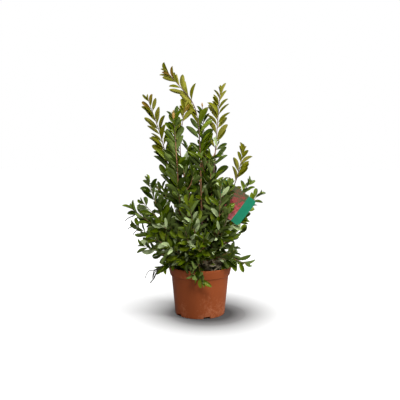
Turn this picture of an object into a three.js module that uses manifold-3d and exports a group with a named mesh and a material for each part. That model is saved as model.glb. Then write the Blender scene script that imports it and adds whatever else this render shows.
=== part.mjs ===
// A young bottlebrush shrub in a round terracotta-coloured plastic pot, with a hanging plant label.
// Millimetres, +Z up. The origin is the middle of the pot's flat underside, and -Y is the front.
import * as THREE from "three";
import { mergeVertices } from "three/addons/utils/BufferGeometryUtils.js";
import Module from "manifold-3d";

const wasm = await Module();
wasm.setup();

// Pot: a tapered tub with a deep collar and drain notches round its foot
const POT_HEIGHT = 130;
const RIM_DIAMETER = 171;
const COLLAR_HEIGHT = 23;
const COLLAR_FOOT_DIAMETER = 161;
const SHOULDER_DIAMETER = 154;
const SHOULDER_HEIGHT = 103.5;
const BASE_DIAMETER = 134;
const POT_WALL = 2.4;
const POT_FLOOR = 4;
const POT_EDGE = 1.2;
const NOTCH_COUNT = 5;
const NOTCH_TURN = 70; // degrees from +X to the first notch
const NOTCH = { width: 19, height: 6, depth: 10 };
const POT_SEGMENTS = 36;

// Soil: fills the pot to a little under the rim, with a low mound round the flat pad under the trunk
const SOIL_LEVEL = 116.5;
const SOIL_MOUND = 1.5;
const SOIL_PAD_DIAMETER = 44;
const SOIL_SWELL = 0.7; // share of the mound reached halfway in from the edge
const SOIL_SEGMENTS = 24;
const SOIL_TOP = SOIL_LEVEL + SOIL_MOUND;

// Clearance left between pieces that meet
const GAP = 0.3;

// Trunk: a short woody stem that flares at the soil and splits into the shoots
const TRUNK = { height: 60, footRadius: 13, waistRadius: 8, topRadius: 5.5, lean: [3, -2], sides: 9, steps: 5 };
const FLARE_SHARE = 0.25; // of the trunk's height
const RING_CROWDING = 1.5; // over 1 sets the rings closer at the foot

// Shoots come in kinds. A leader is a tall stem whose lower part is bare wood, with its leaves in two rows so
// that the stem shows between them. A side shoot leaves the trunk low down and is leafy all round.
const LEADER = {
  rootRadius: 2.9, tipRadius: 1.1, bareShare: 0.24, leafyFrom: 0.02, leafyTo: 1,
  leafLength: 55, tipLeafLength: 32, leafSpacing: 11.4, spread: 40, tipSpread: 26,
  twigs: 3, twigLength: 74, twigsTo: 0.5, openSide: 0.62,
};
const SLIM_LEADER = { ...LEADER, leafyTo: 0.93, leafLength: 46, tipLeafLength: 30, twigs: 2, twigLength: 60 };
const SLENDER_LEADER = { ...LEADER, leafLength: 48, spread: 34, twigs: 2, twigLength: 58 };
const SIDE_SHOOT = {
  rootRadius: 1.9, tipRadius: 0.9, bareShare: 0, leafyFrom: 0.27, leafyTo: 1,
  leafLength: 51, tipLeafLength: 33, leafSpacing: 10.1, spread: 47, tipSpread: 28,
  twigs: 2, twigLength: 54, twigsTo: 0.78, openSide: 1,
};
const AIRY_SHOOT = { ...SIDE_SHOOT, leafSpacing: 11, twigs: 1, twigLength: 44 };
const SLENDER_SHOOT = { ...AIRY_SHOOT, leafLength: 46, tipLeafLength: 34 };

// The shoots, each with its foot on the trunk (compass angle in degrees from +X, height above the soil),
// the points its stem passes and its tip. Heights are above the soil.
const SHOOTS = [
  {
    name: "crown", kind: LEADER, foot: [286, 54],
    via: [[3, -16, 200], [0, -11, 325], [-5, -10, 395], [-18, -9, 443], [-66, -7, 503]], tip: [-83, -6, 522],
  },
  { name: "front", kind: LEADER, foot: [215, 52], via: [[-48, -35, 159], [-60, -45, 295]], tip: [-67, -45, 404] },
  { name: "inner", kind: LEADER, foot: [172, 56], via: [[-30, -18, 190], [-52, -22, 325]], tip: [-40, -20, 432] },
  { name: "east", kind: LEADER, foot: [350, 52], via: [[32, 0, 205], [43, 5, 345]], tip: [53, 0, 473] },
  { name: "back_west", kind: LEADER, foot: [122, 52], via: [[-28, 60, 190]], tip: [-36, 74, 330] },
  { name: "west", kind: LEADER, foot: [155, 40], via: [[-66, 28, 186], [-103, 30, 348]], tip: [-139, 25, 455] },
  { name: "middle", kind: SLIM_LEADER, foot: [60, 52], via: [[18, 14, 205], [11, 22, 370]], tip: [6, 22, 441] },
  {
    name: "far_east", kind: SLENDER_LEADER, foot: [12, 40],
    via: [[59, 20, 147], [98, 14, 242]], tip: [116, 4, 316],
  },
  { name: "back_east", kind: LEADER, foot: [80, 40], via: [[18, 62, 190]], tip: [28, 82, 308] },
  { name: "back", kind: LEADER, foot: [103, 29], via: [[-16, 92, 130]], tip: [-12, 122, 245] },
  { name: "west_high", kind: AIRY_SHOOT, foot: [185, 29], via: [[-92, -18, 124]], tip: [-136, -35, 240] },
  { name: "west_upper", kind: AIRY_SHOOT, foot: [194, 24], via: [[-84, -28, 112]], tip: [-146, -42, 182] },
  { name: "west_rear", kind: SIDE_SHOOT, foot: [142, 29], via: [[-72, 66, 124]], tip: [-108, 98, 215] },
  { name: "east_wide", kind: AIRY_SHOOT, foot: [345, 29], via: [[78, 0, 128]], tip: [156, 0, 200] },
  { name: "east_rear", kind: SIDE_SHOOT, foot: [42, 29], via: [[74, 46, 126]], tip: [138, 58, 232] },
  { name: "front_east", kind: SIDE_SHOOT, foot: [308, 29], via: [[44, -62, 116]], tip: [53, -84, 232] },
  { name: "front_middle", kind: SIDE_SHOOT, foot: [256, 40], via: [[-13, -68, 108]], tip: [-26, -102, 182] },
  { name: "front_near", kind: SIDE_SHOOT, foot: [262, 29], via: [[-22, -74, 66]], tip: [-36, -118, 118] },
  { name: "front_corner", kind: AIRY_SHOOT, foot: [220, 29], via: [[-70, -44, 62]], tip: [-128, -68, 100] },
  { name: "west_wide", kind: AIRY_SHOOT, foot: [200, 19], via: [[-92, -30, 98]], tip: [-177, -38, 168] },
  { name: "west_back", kind: AIRY_SHOOT, foot: [168, 19], via: [[-100, 16, 64]], tip: [-175, 26, 116] },
  { name: "east_back", kind: AIRY_SHOOT, foot: [14, 19], via: [[61, 20, 69]], tip: [112, 28, 100] },
  { name: "front_low", kind: SIDE_SHOOT, foot: [284, 19], via: [[10, -70, 66]], tip: [8, -116, 106] },
  { name: "east_front", kind: AIRY_SHOOT, foot: [325, 19], via: [[46, -42, 64]], tip: [80, -62, 104] },
  { name: "front_wide", kind: AIRY_SHOOT, foot: [318, 12], via: [[56, -54, 47]], tip: [86, -76, 63] },
  { name: "front_west", kind: SIDE_SHOOT, foot: [234, 19], via: [[-46, -60, 50]], tip: [-74, -100, 74] },
  { name: "back_wide", kind: SIDE_SHOOT, foot: [84, 19], via: [[14, 84, 62]], tip: [22, 148, 124] },
  { name: "back_low_west", kind: SIDE_SHOOT, foot: [126, 19], via: [[-50, 64, 52]], tip: [-98, 110, 92] },
  { name: "back_low_east", kind: SIDE_SHOOT, foot: [50, 19], via: [[52, 60, 46]], tip: [100, 104, 86] },
  { name: "west_low", kind: AIRY_SHOOT, foot: [188, 9], via: [[-84, -14, 44]], tip: [-146, -34, 68] },
  { name: "west_hanging", kind: AIRY_SHOOT, foot: [216, 9], via: [[-74, -34, 29]], tip: [-98, -44, 18] },
  { name: "front_hanging", kind: AIRY_SHOOT, foot: [262, 9], via: [[-4, -82, 27]], tip: [6, -110, -4] },
  { name: "east_low", kind: SLENDER_SHOOT, foot: [335, 9], via: [[68, -34, 40]], tip: [118, -48, 26] },
  { name: "front_label", kind: AIRY_SHOOT, foot: [318, 38], via: [[48, -58, 94]], tip: [74, -80, 158] },
  { name: "east_label", kind: AIRY_SHOOT, foot: [336, 46], via: [[44, -40, 140]], tip: [70, -46, 228] },
];
const STEM_STEPS = 6;
const BOUGH_SIDES = 6;
const BOUGH_STEPS = 4;
const STEM_TAPER = 0.8; // under 1 a stem thins fastest near its root
const EMERGE = { out: 5.4, ahead: 9 }; // where, off the trunk's side, a stem has turned to its own way
const TWIG_SIDES = 3;
const TWIG_STEPS = 2;
const TWIG_ROOT = 0.62; // a twig's root radius over its stem's
const TWIG_TIP = 0.9; // its tip radius over its stem's
const TWIG_SIZES = [0.75, 1.1]; // range of lengths over the kind's own
const TWIG_BEND = { out: 0.42, ahead: 0.3 }; // its middle, in shares of its length
const TWIG_END = { out: 0.6, ahead: 0.72 };

// Leaves: narrow and pointed, set in a spiral along the twig
const LEAF_SLIMNESS = 0.38; // width over length
const LEAF_THICKNESS = 0.026; // over length
const LEAF_WIDEST = 0.52; // share of the length
const LEAF_RIDGE = 0.3; // where the blade is thickest
const LEAF_DROOP = 0.05; // how far the tip bends back, over length
const LEAF_SINK = 0.25; // how far past the twig's axis the root lies, in twig radii
const LEAF_SPIRAL = 137.5; // degrees from one leaf to the next
const LEAF_ROLL = [46, 84]; // degrees the blade is rolled about its own length, either way
const LEAF_YOUTH = 8; // how late along a twig its leaves get smaller
const LEAF_SPREADS = [0.8, 1.2]; // range of spreads over the kind's own
const LEAF_SIZES = [0.82, 1.12]; // range of lengths over the kind's own
const LEAF_JITTER = 30; // degrees, all told, that a leaf strays from the spiral
const LEAF_SPOTS = [0.35, 0.6, 0.85]; // shares of its length that keep out of the gaps
const LEAF_STALK = { radii: 2.4, length: 1 }; // the part nearest the twig, which may meet the next leaf
const LEAF_FEWEST = 3; // on a twig
const LEAF_CROWDING = 0.85; // under 1 sets the leaves closer towards the tip
const LEAF_OFFSET = 0.6; // where a leaf stands within its own stretch of twig
const LEAF_TRIES = 8; // turns tried before a leaf with no room is left out
const TWIG_LEAF_START = 0.24; // share of a twig that is bare
const LEAF_BEGIN = 0.02; // of a stem, between its leafy start and the first leaf
const SMOOTHING = 0.06; // furthest that a joined mass may stray when its small faces are merged
const WELD = 1e-4; // corners closer than this are one
const UPRIGHT = 0.9; // a heading steeper than this takes its sides from the front, not from straight up
const ITEMS_A_TWIG = 100; // throws of the dice kept for each twig

// Gaps in the crown that stay free of leaves, as ranges of x, y and height above the soil
const CLEARINGS = [
  [[-38, -22], [-90, 90], [386, 401]], // between the front leader and the crown
  [[-45, -34], [-90, 90], [348, 373]],
  [[-28, -18], [-90, 90], [341, 365]],
  [[-53, -38], [-90, 90], [302, 330]],
  [[11, 26], [-90, 90], [365, 386]], // round the east leader
  [[43, 52], [-90, 90], [396, 423]],
  [[26, 52], [-90, 90], [311, 337]],
  [[40, 70], [-90, 90], [268, 290]],
  [[70, 92], [-90, 90], [300, 400]],
  [[-14, 10], [-90, 90], [437, 490]], // over the crown's bend
  [[-104, -89], [-90, 90], [203, 234]], // left of the front leader
  [[-142, -112], [-90, 60], [160, 182]],
  [[-150, -134], [-90, 60], [92, 117]],
  [[-165, -106], [-90, 60], [8, 42]], // under the lowest sprays at the left
  [[88, 114], [-40, 90], [228, 252]], // round the label
  [[72, 97], [-115, -34], [116, 162]],
  [[88, 122], [-90, 120], [50, 102]],
  [[4, 56], [-112, -26], [0, 44]], // where the compost shows at the rim
];

// Label: a plastic card held by a strap that loops round the east stem
const CARD = { width: 80, height: 104, thickness: 0.8, corner: 8 };
const STRAP = { width: 7, length: 14 };
const LOOP = { innerRadius: 2.4, wall: 0.9, width: 8, segments: 12 };
const LABEL_HEIGHT = 222; // of the loop above the soil
const LABEL_TURN = 53; // degrees the card is turned in its own plane, as it hangs out to the right
const LABEL_TILT = 16; // degrees its lower edge stands out to the front
const HALVINGS = 30; // steps in the search for the loop's place on its stem

const COLOURS = {
  terracotta: 0x9a5233, soil: 0x3a2f26, bark: 0x6f5140, oldLeaf: 0x3c5526, youngLeaf: 0x6c7a24, card: 0x1f8a66,
};
const ROUGHNESS = { pot: 0.55, soil: 1, trunk: 0.9, bough: 0.85, leaf: 0.6, card: 0.4 };
const YOUNG_TIPS = [150, 500]; // tip heights over which a mass turns from old to young leaf colour

// Seeded dice: the same throw for the same shoot, item and purpose every time
function dice(shoot, item, purpose) {
  const wave = Math.sin(shoot * 127.1 + item * 311.7 + purpose * 74.7) * 43758.5453;
  return wave - Math.floor(wave);
}

const lerp = THREE.MathUtils.lerp;
const radians = THREE.MathUtils.degToRad;
const vector = (p) => new THREE.Vector3(...p);

// A closed geometry as a solid that can be joined and cut
function solidOf(geometry) {
  const bare = new THREE.BufferGeometry().setAttribute("position", geometry.getAttribute("position").clone());
  bare.setIndex(geometry.index);
  const merged = mergeVertices(bare, WELD);
  return new wasm.Manifold(new wasm.Mesh({
    numProp: 3,
    vertProperties: new Float32Array(merged.attributes.position.array),
    triVerts: new Uint32Array(merged.index.array),
  }));
}

// The largest body of a solid, as a geometry
function geometryOf(solid) {
  const bodies = solid.decompose().sort((a, b) => b.volume() - a.volume());
  const mesh = bodies[0].getMesh();
  return new THREE.BufferGeometry()
    .setAttribute("position", new THREE.BufferAttribute(mesh.vertProperties, 3))
    .setIndex(new THREE.BufferAttribute(mesh.triVerts, 1));
}

function lathe(profile, segments) {
  const points = profile.map(([radius, height]) => new THREE.Vector2(radius, height));
  return new THREE.LatheGeometry(points, segments).rotateX(Math.PI / 2);
}

// A tapering limb: a closed cylinder bent along part of a curve
function limb(curve, from, to, radiusAt, sides, steps) {
  const points = Array.from({ length: steps + 1 }, (_, i) => curve.getPointAt(lerp(from, to, i / steps)));
  const frames = new THREE.CatmullRomCurve3(points).computeFrenetFrames(steps);
  const geometry = new THREE.CylinderGeometry(1, 1, 1, sides, steps);
  const position = geometry.getAttribute("position");
  for (let i = 0; i < position.count; i++) {
    const share = position.getY(i) + 0.5;
    const step = Math.round(share * steps);
    const radius = radiusAt(lerp(from, to, share));
    const p = points[step].clone()
      .addScaledVector(frames.binormals[step], position.getX(i) * radius)
      .addScaledVector(frames.normals[step], position.getZ(i) * radius);
    position.setXYZ(i, p.x, p.y, p.z);
  }
  return geometry;
}

// A leaf blade from its root along its own direction, flat underneath and with a low ridge on its face
function leaf({ root, along, face, length, width, thickness }) {
  const side = new THREE.Vector3().crossVectors(along, face).normalize();
  const corner = (reach, across, up) => root.clone()
    .addScaledVector(along, reach * length)
    .addScaledVector(side, across * width / 2)
    .addScaledVector(face, up);
  const corners = [
    corner(0, 0, 0), corner(LEAF_WIDEST, 1, 0), corner(1, 0, -LEAF_DROOP * length), corner(LEAF_WIDEST, -1, 0),
    corner(LEAF_RIDGE, 0, thickness),
  ];
  const geometry = new THREE.BufferGeometry().setFromPoints(corners);
  geometry.setIndex([0, 3, 1, 2, 1, 3, 0, 1, 4, 1, 2, 4, 2, 3, 4, 3, 0, 4]);
  return geometry;
}

// Pot

function potGeometry() {
  const [rim, collarFoot, shoulder, base] = [
    RIM_DIAMETER, COLLAR_FOOT_DIAMETER, SHOULDER_DIAMETER, BASE_DIAMETER,
  ].map((d) => d / 2);
  const collarZ = POT_HEIGHT - COLLAR_HEIGHT;
  const outside = [
    [0, 0], [base - POT_EDGE, 0], [base, POT_EDGE], [shoulder, SHOULDER_HEIGHT],
    [collarFoot, collarZ], [rim, POT_HEIGHT - POT_EDGE], [rim - POT_EDGE, POT_HEIGHT],
  ];
  const inside = [
    [rim - POT_WALL, POT_HEIGHT], [collarFoot - POT_WALL, collarZ + POT_WALL],
    [shoulder - POT_WALL, SHOULDER_HEIGHT + POT_WALL], [base - POT_WALL, POT_FLOOR], [0, POT_FLOOR],
  ];
  let pot = solidOf(lathe([...outside, ...inside], POT_SEGMENTS));
  for (let i = 0; i < NOTCH_COUNT; i++) {
    const notch = new THREE.BoxGeometry(2 * NOTCH.depth, NOTCH.width, 2 * NOTCH.height)
      .translate(base, 0, 0)
      .rotateZ(radians(NOTCH_TURN + i * 360 / NOTCH_COUNT));
    pot = pot.subtract(solidOf(notch));
  }
  return geometryOf(pot);
}

function soilGeometry() {
  const inset = POT_WALL + 2 * GAP;
  const edge = COLLAR_FOOT_DIAMETER / 2 - inset;
  const profile = [
    [0, POT_FLOOR + GAP], [BASE_DIAMETER / 2 - inset, POT_FLOOR + GAP],
    [SHOULDER_DIAMETER / 2 - inset, SHOULDER_HEIGHT + POT_WALL],
    [edge, POT_HEIGHT - COLLAR_HEIGHT + POT_WALL + 2 * GAP], [edge, SOIL_LEVEL],
    [(edge + SOIL_PAD_DIAMETER / 2) / 2, SOIL_LEVEL + SOIL_SWELL * SOIL_MOUND],
    [SOIL_PAD_DIAMETER / 2, SOIL_TOP], [0, SOIL_TOP],
  ];
  return lathe(profile, SOIL_SEGMENTS);
}

// Trunk, in the shrub's own frame: z is the height above the soil

const trunkLine = new THREE.LineCurve3(
  new THREE.Vector3(0, 0, GAP),
  new THREE.Vector3(TRUNK.lean[0], TRUNK.lean[1], TRUNK.height),
);

function trunkRadius(share) {
  const flare = Math.max(0, 1 - share / FLARE_SHARE) ** 2;
  return lerp(TRUNK.waistRadius, TRUNK.topRadius, share) + flare * (TRUNK.footRadius - TRUNK.waistRadius);
}

function trunkGeometry(grow = 0) {
  const shares = Array.from({ length: TRUNK.steps + 1 }, (_, i) => (i / TRUNK.steps) ** RING_CROWDING);
  const rings = shares.map((share) => [trunkRadius(share) + grow, share * (TRUNK.height - GAP)]);
  rings.at(-1)[1] += grow;
  const geometry = lathe([[0, 0], ...rings, [0, rings.at(-1)[1]]], TRUNK.sides);
  const slope = TRUNK.lean.map((offset) => offset / TRUNK.height);
  const shear = new THREE.Matrix4().set(1, 0, slope[0], 0, 0, 1, slope[1], 0, 0, 0, 1, GAP, 0, 0, 0, 1);
  return geometry.applyMatrix4(shear);
}

// The trunk with its clearance, which the stems that leave it are cut by
const trunkClear = solidOf(trunkGeometry(GAP));

// Shoots

function stemCurve({ foot: [angle, height], via, tip }) {
  const share = height / TRUNK.height;
  const start = trunkLine.getPointAt(share);
  const out = new THREE.Vector3(Math.cos(radians(angle)), Math.sin(radians(angle)), 0);
  const next = vector(via[0]).sub(start).normalize();
  const turned = start.clone()
    .addScaledVector(out, trunkRadius(share) + EMERGE.out)
    .addScaledVector(next, EMERGE.ahead);
  return new THREE.CatmullRomCurve3([start, turned, ...via.map(vector), vector(tip)]);
}

const stemRadius = (kind) => (share) => lerp(kind.rootRadius, kind.tipRadius, share ** STEM_TAPER);

// Everything placed so far, so that what comes later can keep clear of it
const placed = [];

const boxOf = (solid) => new THREE.Box3(vector(solid.boundingBox().min), vector(solid.boundingBox().max));

function place(solid, owner, twig, blade = solid) {
  placed.push({ solid, owner, twig, blade, box: boxOf(solid) });
}

// Whether a solid meets nothing but its own shoot
function isClear(solid, shoot) {
  const box = boxOf(solid);
  return placed.every((other) => other.owner === shoot || !box.intersectsBox(other.box)
    || solid.intersect(other.solid).isEmpty());
}

// Whether a solid meets nothing of its own shoot but the twig it grows from
function isApart(solid, shoot, twig) {
  const box = boxOf(solid);
  return placed.every((other) => other.owner !== shoot || other.twig === twig || !box.intersectsBox(other.box)
    || solid.intersect(other.blade).isEmpty());
}

// Side twigs leave the stem in a spiral, each a slim limb that curves up towards the light
function twigCurve(shoot, number, index) {
  const { kind, curve } = shoot;
  const share = lerp(shoot.leafyFrom, kind.twigsTo, (index + 0.5) / kind.twigs);
  const start = curve.getPointAt(share);
  const ahead = curve.getTangentAt(share);
  const angle = radians(index * LEAF_SPIRAL + 360 * dice(number, index, 1));
  const out = aroundTwig(ahead, angle);
  const length = kind.twigLength * lerp(...TWIG_SIZES, dice(number, index, 2));
  const point = (reach) => start.clone()
    .addScaledVector(out, reach.out * length)
    .addScaledVector(ahead, reach.ahead * length);
  return new THREE.CatmullRomCurve3([start, point(TWIG_BEND), point(TWIG_END)]);
}

// A direction square to the twig, at an angle round it measured from the side nearest straight up
function aroundTwig(ahead, angle) {
  const reference = Math.abs(ahead.z) > UPRIGHT ? new THREE.Vector3(0, -1, 0) : new THREE.Vector3(0, 0, 1);
  const across = new THREE.Vector3().crossVectors(ahead, reference).normalize();
  const over = new THREE.Vector3().crossVectors(across, ahead);
  return over.multiplyScalar(Math.cos(angle)).addScaledVector(across, Math.sin(angle));
}

// The leaf's shape at a place on a twig, turned round it and spread from it
function leafShape(twig, share, angle, number, item) {
  const { curve, kind, radiusAt } = twig;
  const age = 1 - share ** LEAF_YOUTH;
  const ahead = curve.getTangentAt(share);
  const out = aroundTwig(ahead, angle);
  const spread = radians(lerp(kind.tipSpread, kind.spread, age) * lerp(...LEAF_SPREADS, dice(number, item, 3)));
  const along = ahead.clone().multiplyScalar(Math.cos(spread)).addScaledVector(out, Math.sin(spread));
  const face = ahead.clone().multiplyScalar(Math.sin(spread)).addScaledVector(out, -Math.cos(spread));
  const roll = lerp(...LEAF_ROLL, dice(number, item, 4)) * (dice(number, item, 7) < 0.5 ? -1 : 1);
  face.applyAxisAngle(along, radians(roll));
  const length = lerp(kind.tipLeafLength, kind.leafLength, age) * lerp(...LEAF_SIZES, dice(number, item, 5));
  const sink = LEAF_SINK * radiusAt(share);
  const root = curve.getPointAt(share).addScaledVector(along, -sink);
  return {
    root, along, face, length: length + sink, width: length * LEAF_SLIMNESS, thickness: length * LEAF_THICKNESS,
  };
}

// The same blade with its clearance all round, or only the part that stands out of its twig
const grown = (shape) => ({
  ...shape, length: shape.length + GAP, width: shape.width + 2 * GAP, thickness: shape.thickness + 2 * GAP,
});
function bladeOf(shape, bare) {
  return { ...shape, root: shape.root.clone().addScaledVector(shape.along, bare), length: shape.length - bare };
}

// Whether a leaf lies in a gap, or would hide its leader's stem
function isUnwanted(shape, twig, share, angle) {
  const spots = LEAF_SPOTS.map(
    (at) => shape.root.clone().addScaledVector(shape.along, at * shape.length).toArray(),
  );
  const inGap = CLEARINGS.some((gap) => spots.some(
    (spot) => gap.every(([low, high], i) => spot[i] > low && spot[i] < high),
  ));
  return inGap || Math.abs(aroundTwig(twig.curve.getTangentAt(share), angle).y) > twig.kind.openSide;
}

// Sets the leaves along one twig in a spiral. A leaf with no room is turned, and left out if it still has none.
function setLeaves(shoot, twig, number, leafyFrom, firstItem) {
  const { leafyTo } = twig.kind;
  const length = twig.curve.getLength() * (leafyTo - leafyFrom);
  const count = Math.max(LEAF_FEWEST, Math.round(length / twig.kind.leafSpacing));
  const solids = [];
  for (let i = 0; i < count; i++) {
    const item = firstItem + i;
    const share = lerp(leafyFrom, leafyTo, ((i + LEAF_OFFSET) / count) ** LEAF_CROWDING);
    const base = item * LEAF_SPIRAL + LEAF_JITTER * (dice(number, item, 6) - 0.5);
    for (let turn = 0; turn < LEAF_TRIES; turn++) {
      const angle = radians(base + turn * 360 / LEAF_TRIES);
      const shape = leafShape(twig, share, angle, number, item);
      if (isUnwanted(shape, twig, share, angle)) continue;
      const solid = solidOf(leaf(shape));
      const stalk = LEAF_STALK.radii * twig.radiusAt(share) + LEAF_STALK.length;
      const blade = solidOf(leaf(bladeOf(shape, stalk)));
      const clear = solidOf(leaf(grown(shape)));
      if (isApart(blade, shoot, twig) && isClear(clear, shoot)) {
        solids.push(solid);
        place(solid, shoot, null, blade);
        break;
      }
    }
  }
  return solids;
}

// One mass of foliage: the leafy part of a stem with its side twigs and leaves, joined in one solid
function foliageGeometry(shoot, number) {
  const solids = [shoot.stem.solid];
  const twigs = [shoot.stem];
  for (let i = 0; i < shoot.kind.twigs; i++) {
    const curve = twigCurve(shoot, number, i);
    const { rootRadius, tipRadius } = shoot.kind;
    const radiusAt = (share) => lerp(TWIG_ROOT * rootRadius, TWIG_TIP * tipRadius, share);
    const solid = solidOf(limb(curve, 0, 1, radiusAt, TWIG_SIDES, TWIG_STEPS));
    const twig = { curve, kind: SIDE_SHOOT, radiusAt, solid };
    const clear = solidOf(limb(curve, 0, 1, (share) => radiusAt(share) + GAP, TWIG_SIDES, TWIG_STEPS));
    if (!isClear(clear, shoot) || !isApart(solid, shoot, shoot.stem)) continue;
    place(solid, shoot, twig);
    solids.push(solid);
    twigs.push(twig);
  }
  twigs.forEach((twig, i) => {
    const from = i === 0 ? shoot.leafyFrom : TWIG_LEAF_START;
    solids.push(...setLeaves(shoot, twig, number, from, ITEMS_A_TWIG * i));
  });
  return geometryOf(wasm.Manifold.union(solids).simplify(SMOOTHING));
}

// Label: card and strap drawn flat with the strap's top at the origin, then hung from a loop round the stem

function labelGeometry(curve) {
  const { width, height, thickness, corner } = CARD;
  const [left, right] = [corner - width / 2, width / 2 - corner];
  const [top, bottom] = [-STRAP.length - corner, -STRAP.length - height + corner];
  const outline = new THREE.Shape()
    .absarc(left, top, corner, Math.PI / 2, Math.PI, false)
    .absarc(left, bottom, corner, Math.PI, 1.5 * Math.PI, false)
    .absarc(right, bottom, corner, 1.5 * Math.PI, 2 * Math.PI, false)
    .absarc(right, top, corner, 0, Math.PI / 2, false);
  const card = new THREE.ExtrudeGeometry(outline, { depth: thickness, bevelEnabled: false, curveSegments: 3 });
  const strap = new THREE.BoxGeometry(STRAP.width, STRAP.length + LOOP.width, thickness)
    .translate(0, -STRAP.length / 2, thickness / 2);
  const share = shareAtHeight(curve, LABEL_HEIGHT);
  const stem = curve.getPointAt(share);
  const hung = solidOf(card).add(solidOf(strap)).getMesh();
  const front = new THREE.BufferGeometry()
    .setAttribute("position", new THREE.BufferAttribute(hung.vertProperties, 3))
    .setIndex(new THREE.BufferAttribute(hung.triVerts, 1))
    .translate(0, 0, -thickness / 2)
    .rotateX(radians(-LABEL_TILT))
    .rotateZ(radians(LABEL_TURN))
    .rotateX(Math.PI / 2)
    .translate(stem.x, stem.y - LOOP.innerRadius - LOOP.wall / 2, stem.z);
  const [inner, outer] = [LOOP.innerRadius, LOOP.innerRadius + LOOP.wall];
  const half = LOOP.width / 2;
  const upright = new THREE.Quaternion()
    .setFromUnitVectors(new THREE.Vector3(0, 0, 1), curve.getTangentAt(share));
  const section = [[inner, -half], [outer, -half], [outer, half], [inner, half], [inner, -half]];
  const ring = lathe(section, LOOP.segments)
    .applyQuaternion(upright)
    .translate(stem.x, stem.y, stem.z);
  return geometryOf(solidOf(front).add(solidOf(ring)));
}

function shareAtHeight(curve, height) {
  let [low, high] = [0, 1];
  for (let i = 0; i < HALVINGS; i++) {
    const middle = (low + high) / 2;
    if (curve.getPointAt(middle).z < height) low = middle;
    else high = middle;
  }
  return low;
}

// Assembly

function mesh(name, geometry, colour, roughness) {
  geometry.computeVertexNormals();
  const material = new THREE.MeshStandardMaterial({ color: colour, roughness, metalness: 0 });
  const made = new THREE.Mesh(geometry, material);
  made.name = name;
  return made;
}

const root = new THREE.Group();
const shrub = new THREE.Group();
shrub.position.z = SOIL_TOP;
root.add(shrub);

const pot = mesh("pot", potGeometry(), COLOURS.terracotta, ROUGHNESS.pot);
const soil = mesh("soil", soilGeometry(), COLOURS.soil, ROUGHNESS.soil);
root.add(pot, soil);
for (const part of [pot, soil]) {
  place(solidOf(part.geometry.clone().translate(0, 0, -SOIL_TOP)), part);
}

const trunk = mesh("trunk", trunkGeometry(), COLOURS.bark, ROUGHNESS.trunk);
shrub.add(trunk);
place(trunkClear, trunk);

// Every bough and stem stands before the first leaf is set
const shoots = SHOOTS.map((plan) => {
  const { name, kind } = plan;
  const curve = stemCurve(plan);
  const radiusAt = stemRadius(kind);
  let from = 0;
  if (kind.bareShare > 0) {
    const whole = solidOf(limb(curve, 0, kind.bareShare, radiusAt, BOUGH_SIDES, BOUGH_STEPS));
    const wood = whole.subtract(trunkClear);
    const bough = mesh(`bough_${name}`, geometryOf(wood), COLOURS.bark, ROUGHNESS.bough);
    shrub.add(bough);
    place(wood, bough);
    from = kind.bareShare + GAP / curve.getLength();
  }
  const solid = solidOf(limb(curve, from, 1, radiusAt, TWIG_SIDES, STEM_STEPS)).subtract(trunkClear);
  const shoot = { ...plan, curve, leafyFrom: Math.max(from, kind.leafyFrom) + LEAF_BEGIN };
  shoot.stem = { curve, kind, radiusAt, solid };
  place(solid, shoot, shoot.stem);
  return shoot;
});

const labelled = shoots.find((shoot) => shoot.name === "east");
const label = mesh("label", labelGeometry(labelled.curve), COLOURS.card, ROUGHNESS.card);
shrub.add(label);
place(solidOf(label.geometry), label);

shoots.forEach((shoot, number) => {
  const youth = THREE.MathUtils.clamp(THREE.MathUtils.inverseLerp(...YOUNG_TIPS, shoot.tip[2]), 0, 1);
  const green = new THREE.Color(COLOURS.oldLeaf).lerp(new THREE.Color(COLOURS.youngLeaf), youth);
  shrub.add(mesh(`foliage_${shoot.name}`, foliageGeometry(shoot, number + 1), green, ROUGHNESS.leaf));
});

export default root;
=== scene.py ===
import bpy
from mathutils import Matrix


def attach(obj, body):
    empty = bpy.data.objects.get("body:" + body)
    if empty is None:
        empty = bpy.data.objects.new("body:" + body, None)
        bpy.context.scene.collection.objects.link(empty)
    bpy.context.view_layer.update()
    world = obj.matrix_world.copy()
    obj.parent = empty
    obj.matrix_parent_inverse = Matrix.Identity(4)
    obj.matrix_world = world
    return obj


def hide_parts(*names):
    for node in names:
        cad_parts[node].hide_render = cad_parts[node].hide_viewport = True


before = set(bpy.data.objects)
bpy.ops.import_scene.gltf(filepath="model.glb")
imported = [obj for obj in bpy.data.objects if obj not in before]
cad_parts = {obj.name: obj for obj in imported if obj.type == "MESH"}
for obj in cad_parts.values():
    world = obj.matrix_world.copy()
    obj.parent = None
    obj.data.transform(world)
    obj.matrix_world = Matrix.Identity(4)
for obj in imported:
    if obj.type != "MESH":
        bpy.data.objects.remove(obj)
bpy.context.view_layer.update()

import math
from types import SimpleNamespace

import bpy
import numpy as np
from mathutils import Matrix, Quaternion, Vector
from mathutils.bvhtree import BVHTree

scene = bpy.context.scene
mm = 0.001  # everything below is planned in millimetres


# mesh helpers

def lerp(a, b, t):
    return a + (b - a) * t


def meshOf(name, points, faces, edges=()):
    mesh = bpy.data.meshes.new(name)
    mesh.from_pydata([tuple(p) for p in points], list(edges), list(faces))
    mesh.update()
    return mesh


# a ring of points round the upright axis, or a single point on it
def ringOf(radius, heightAt, count):
    turns = [math.tau * i / count for i in range(count if radius else 1)]
    return [(radius * mm * math.cos(a), radius * mm * math.sin(a), heightAt(a) * mm) for a in turns]


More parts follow.
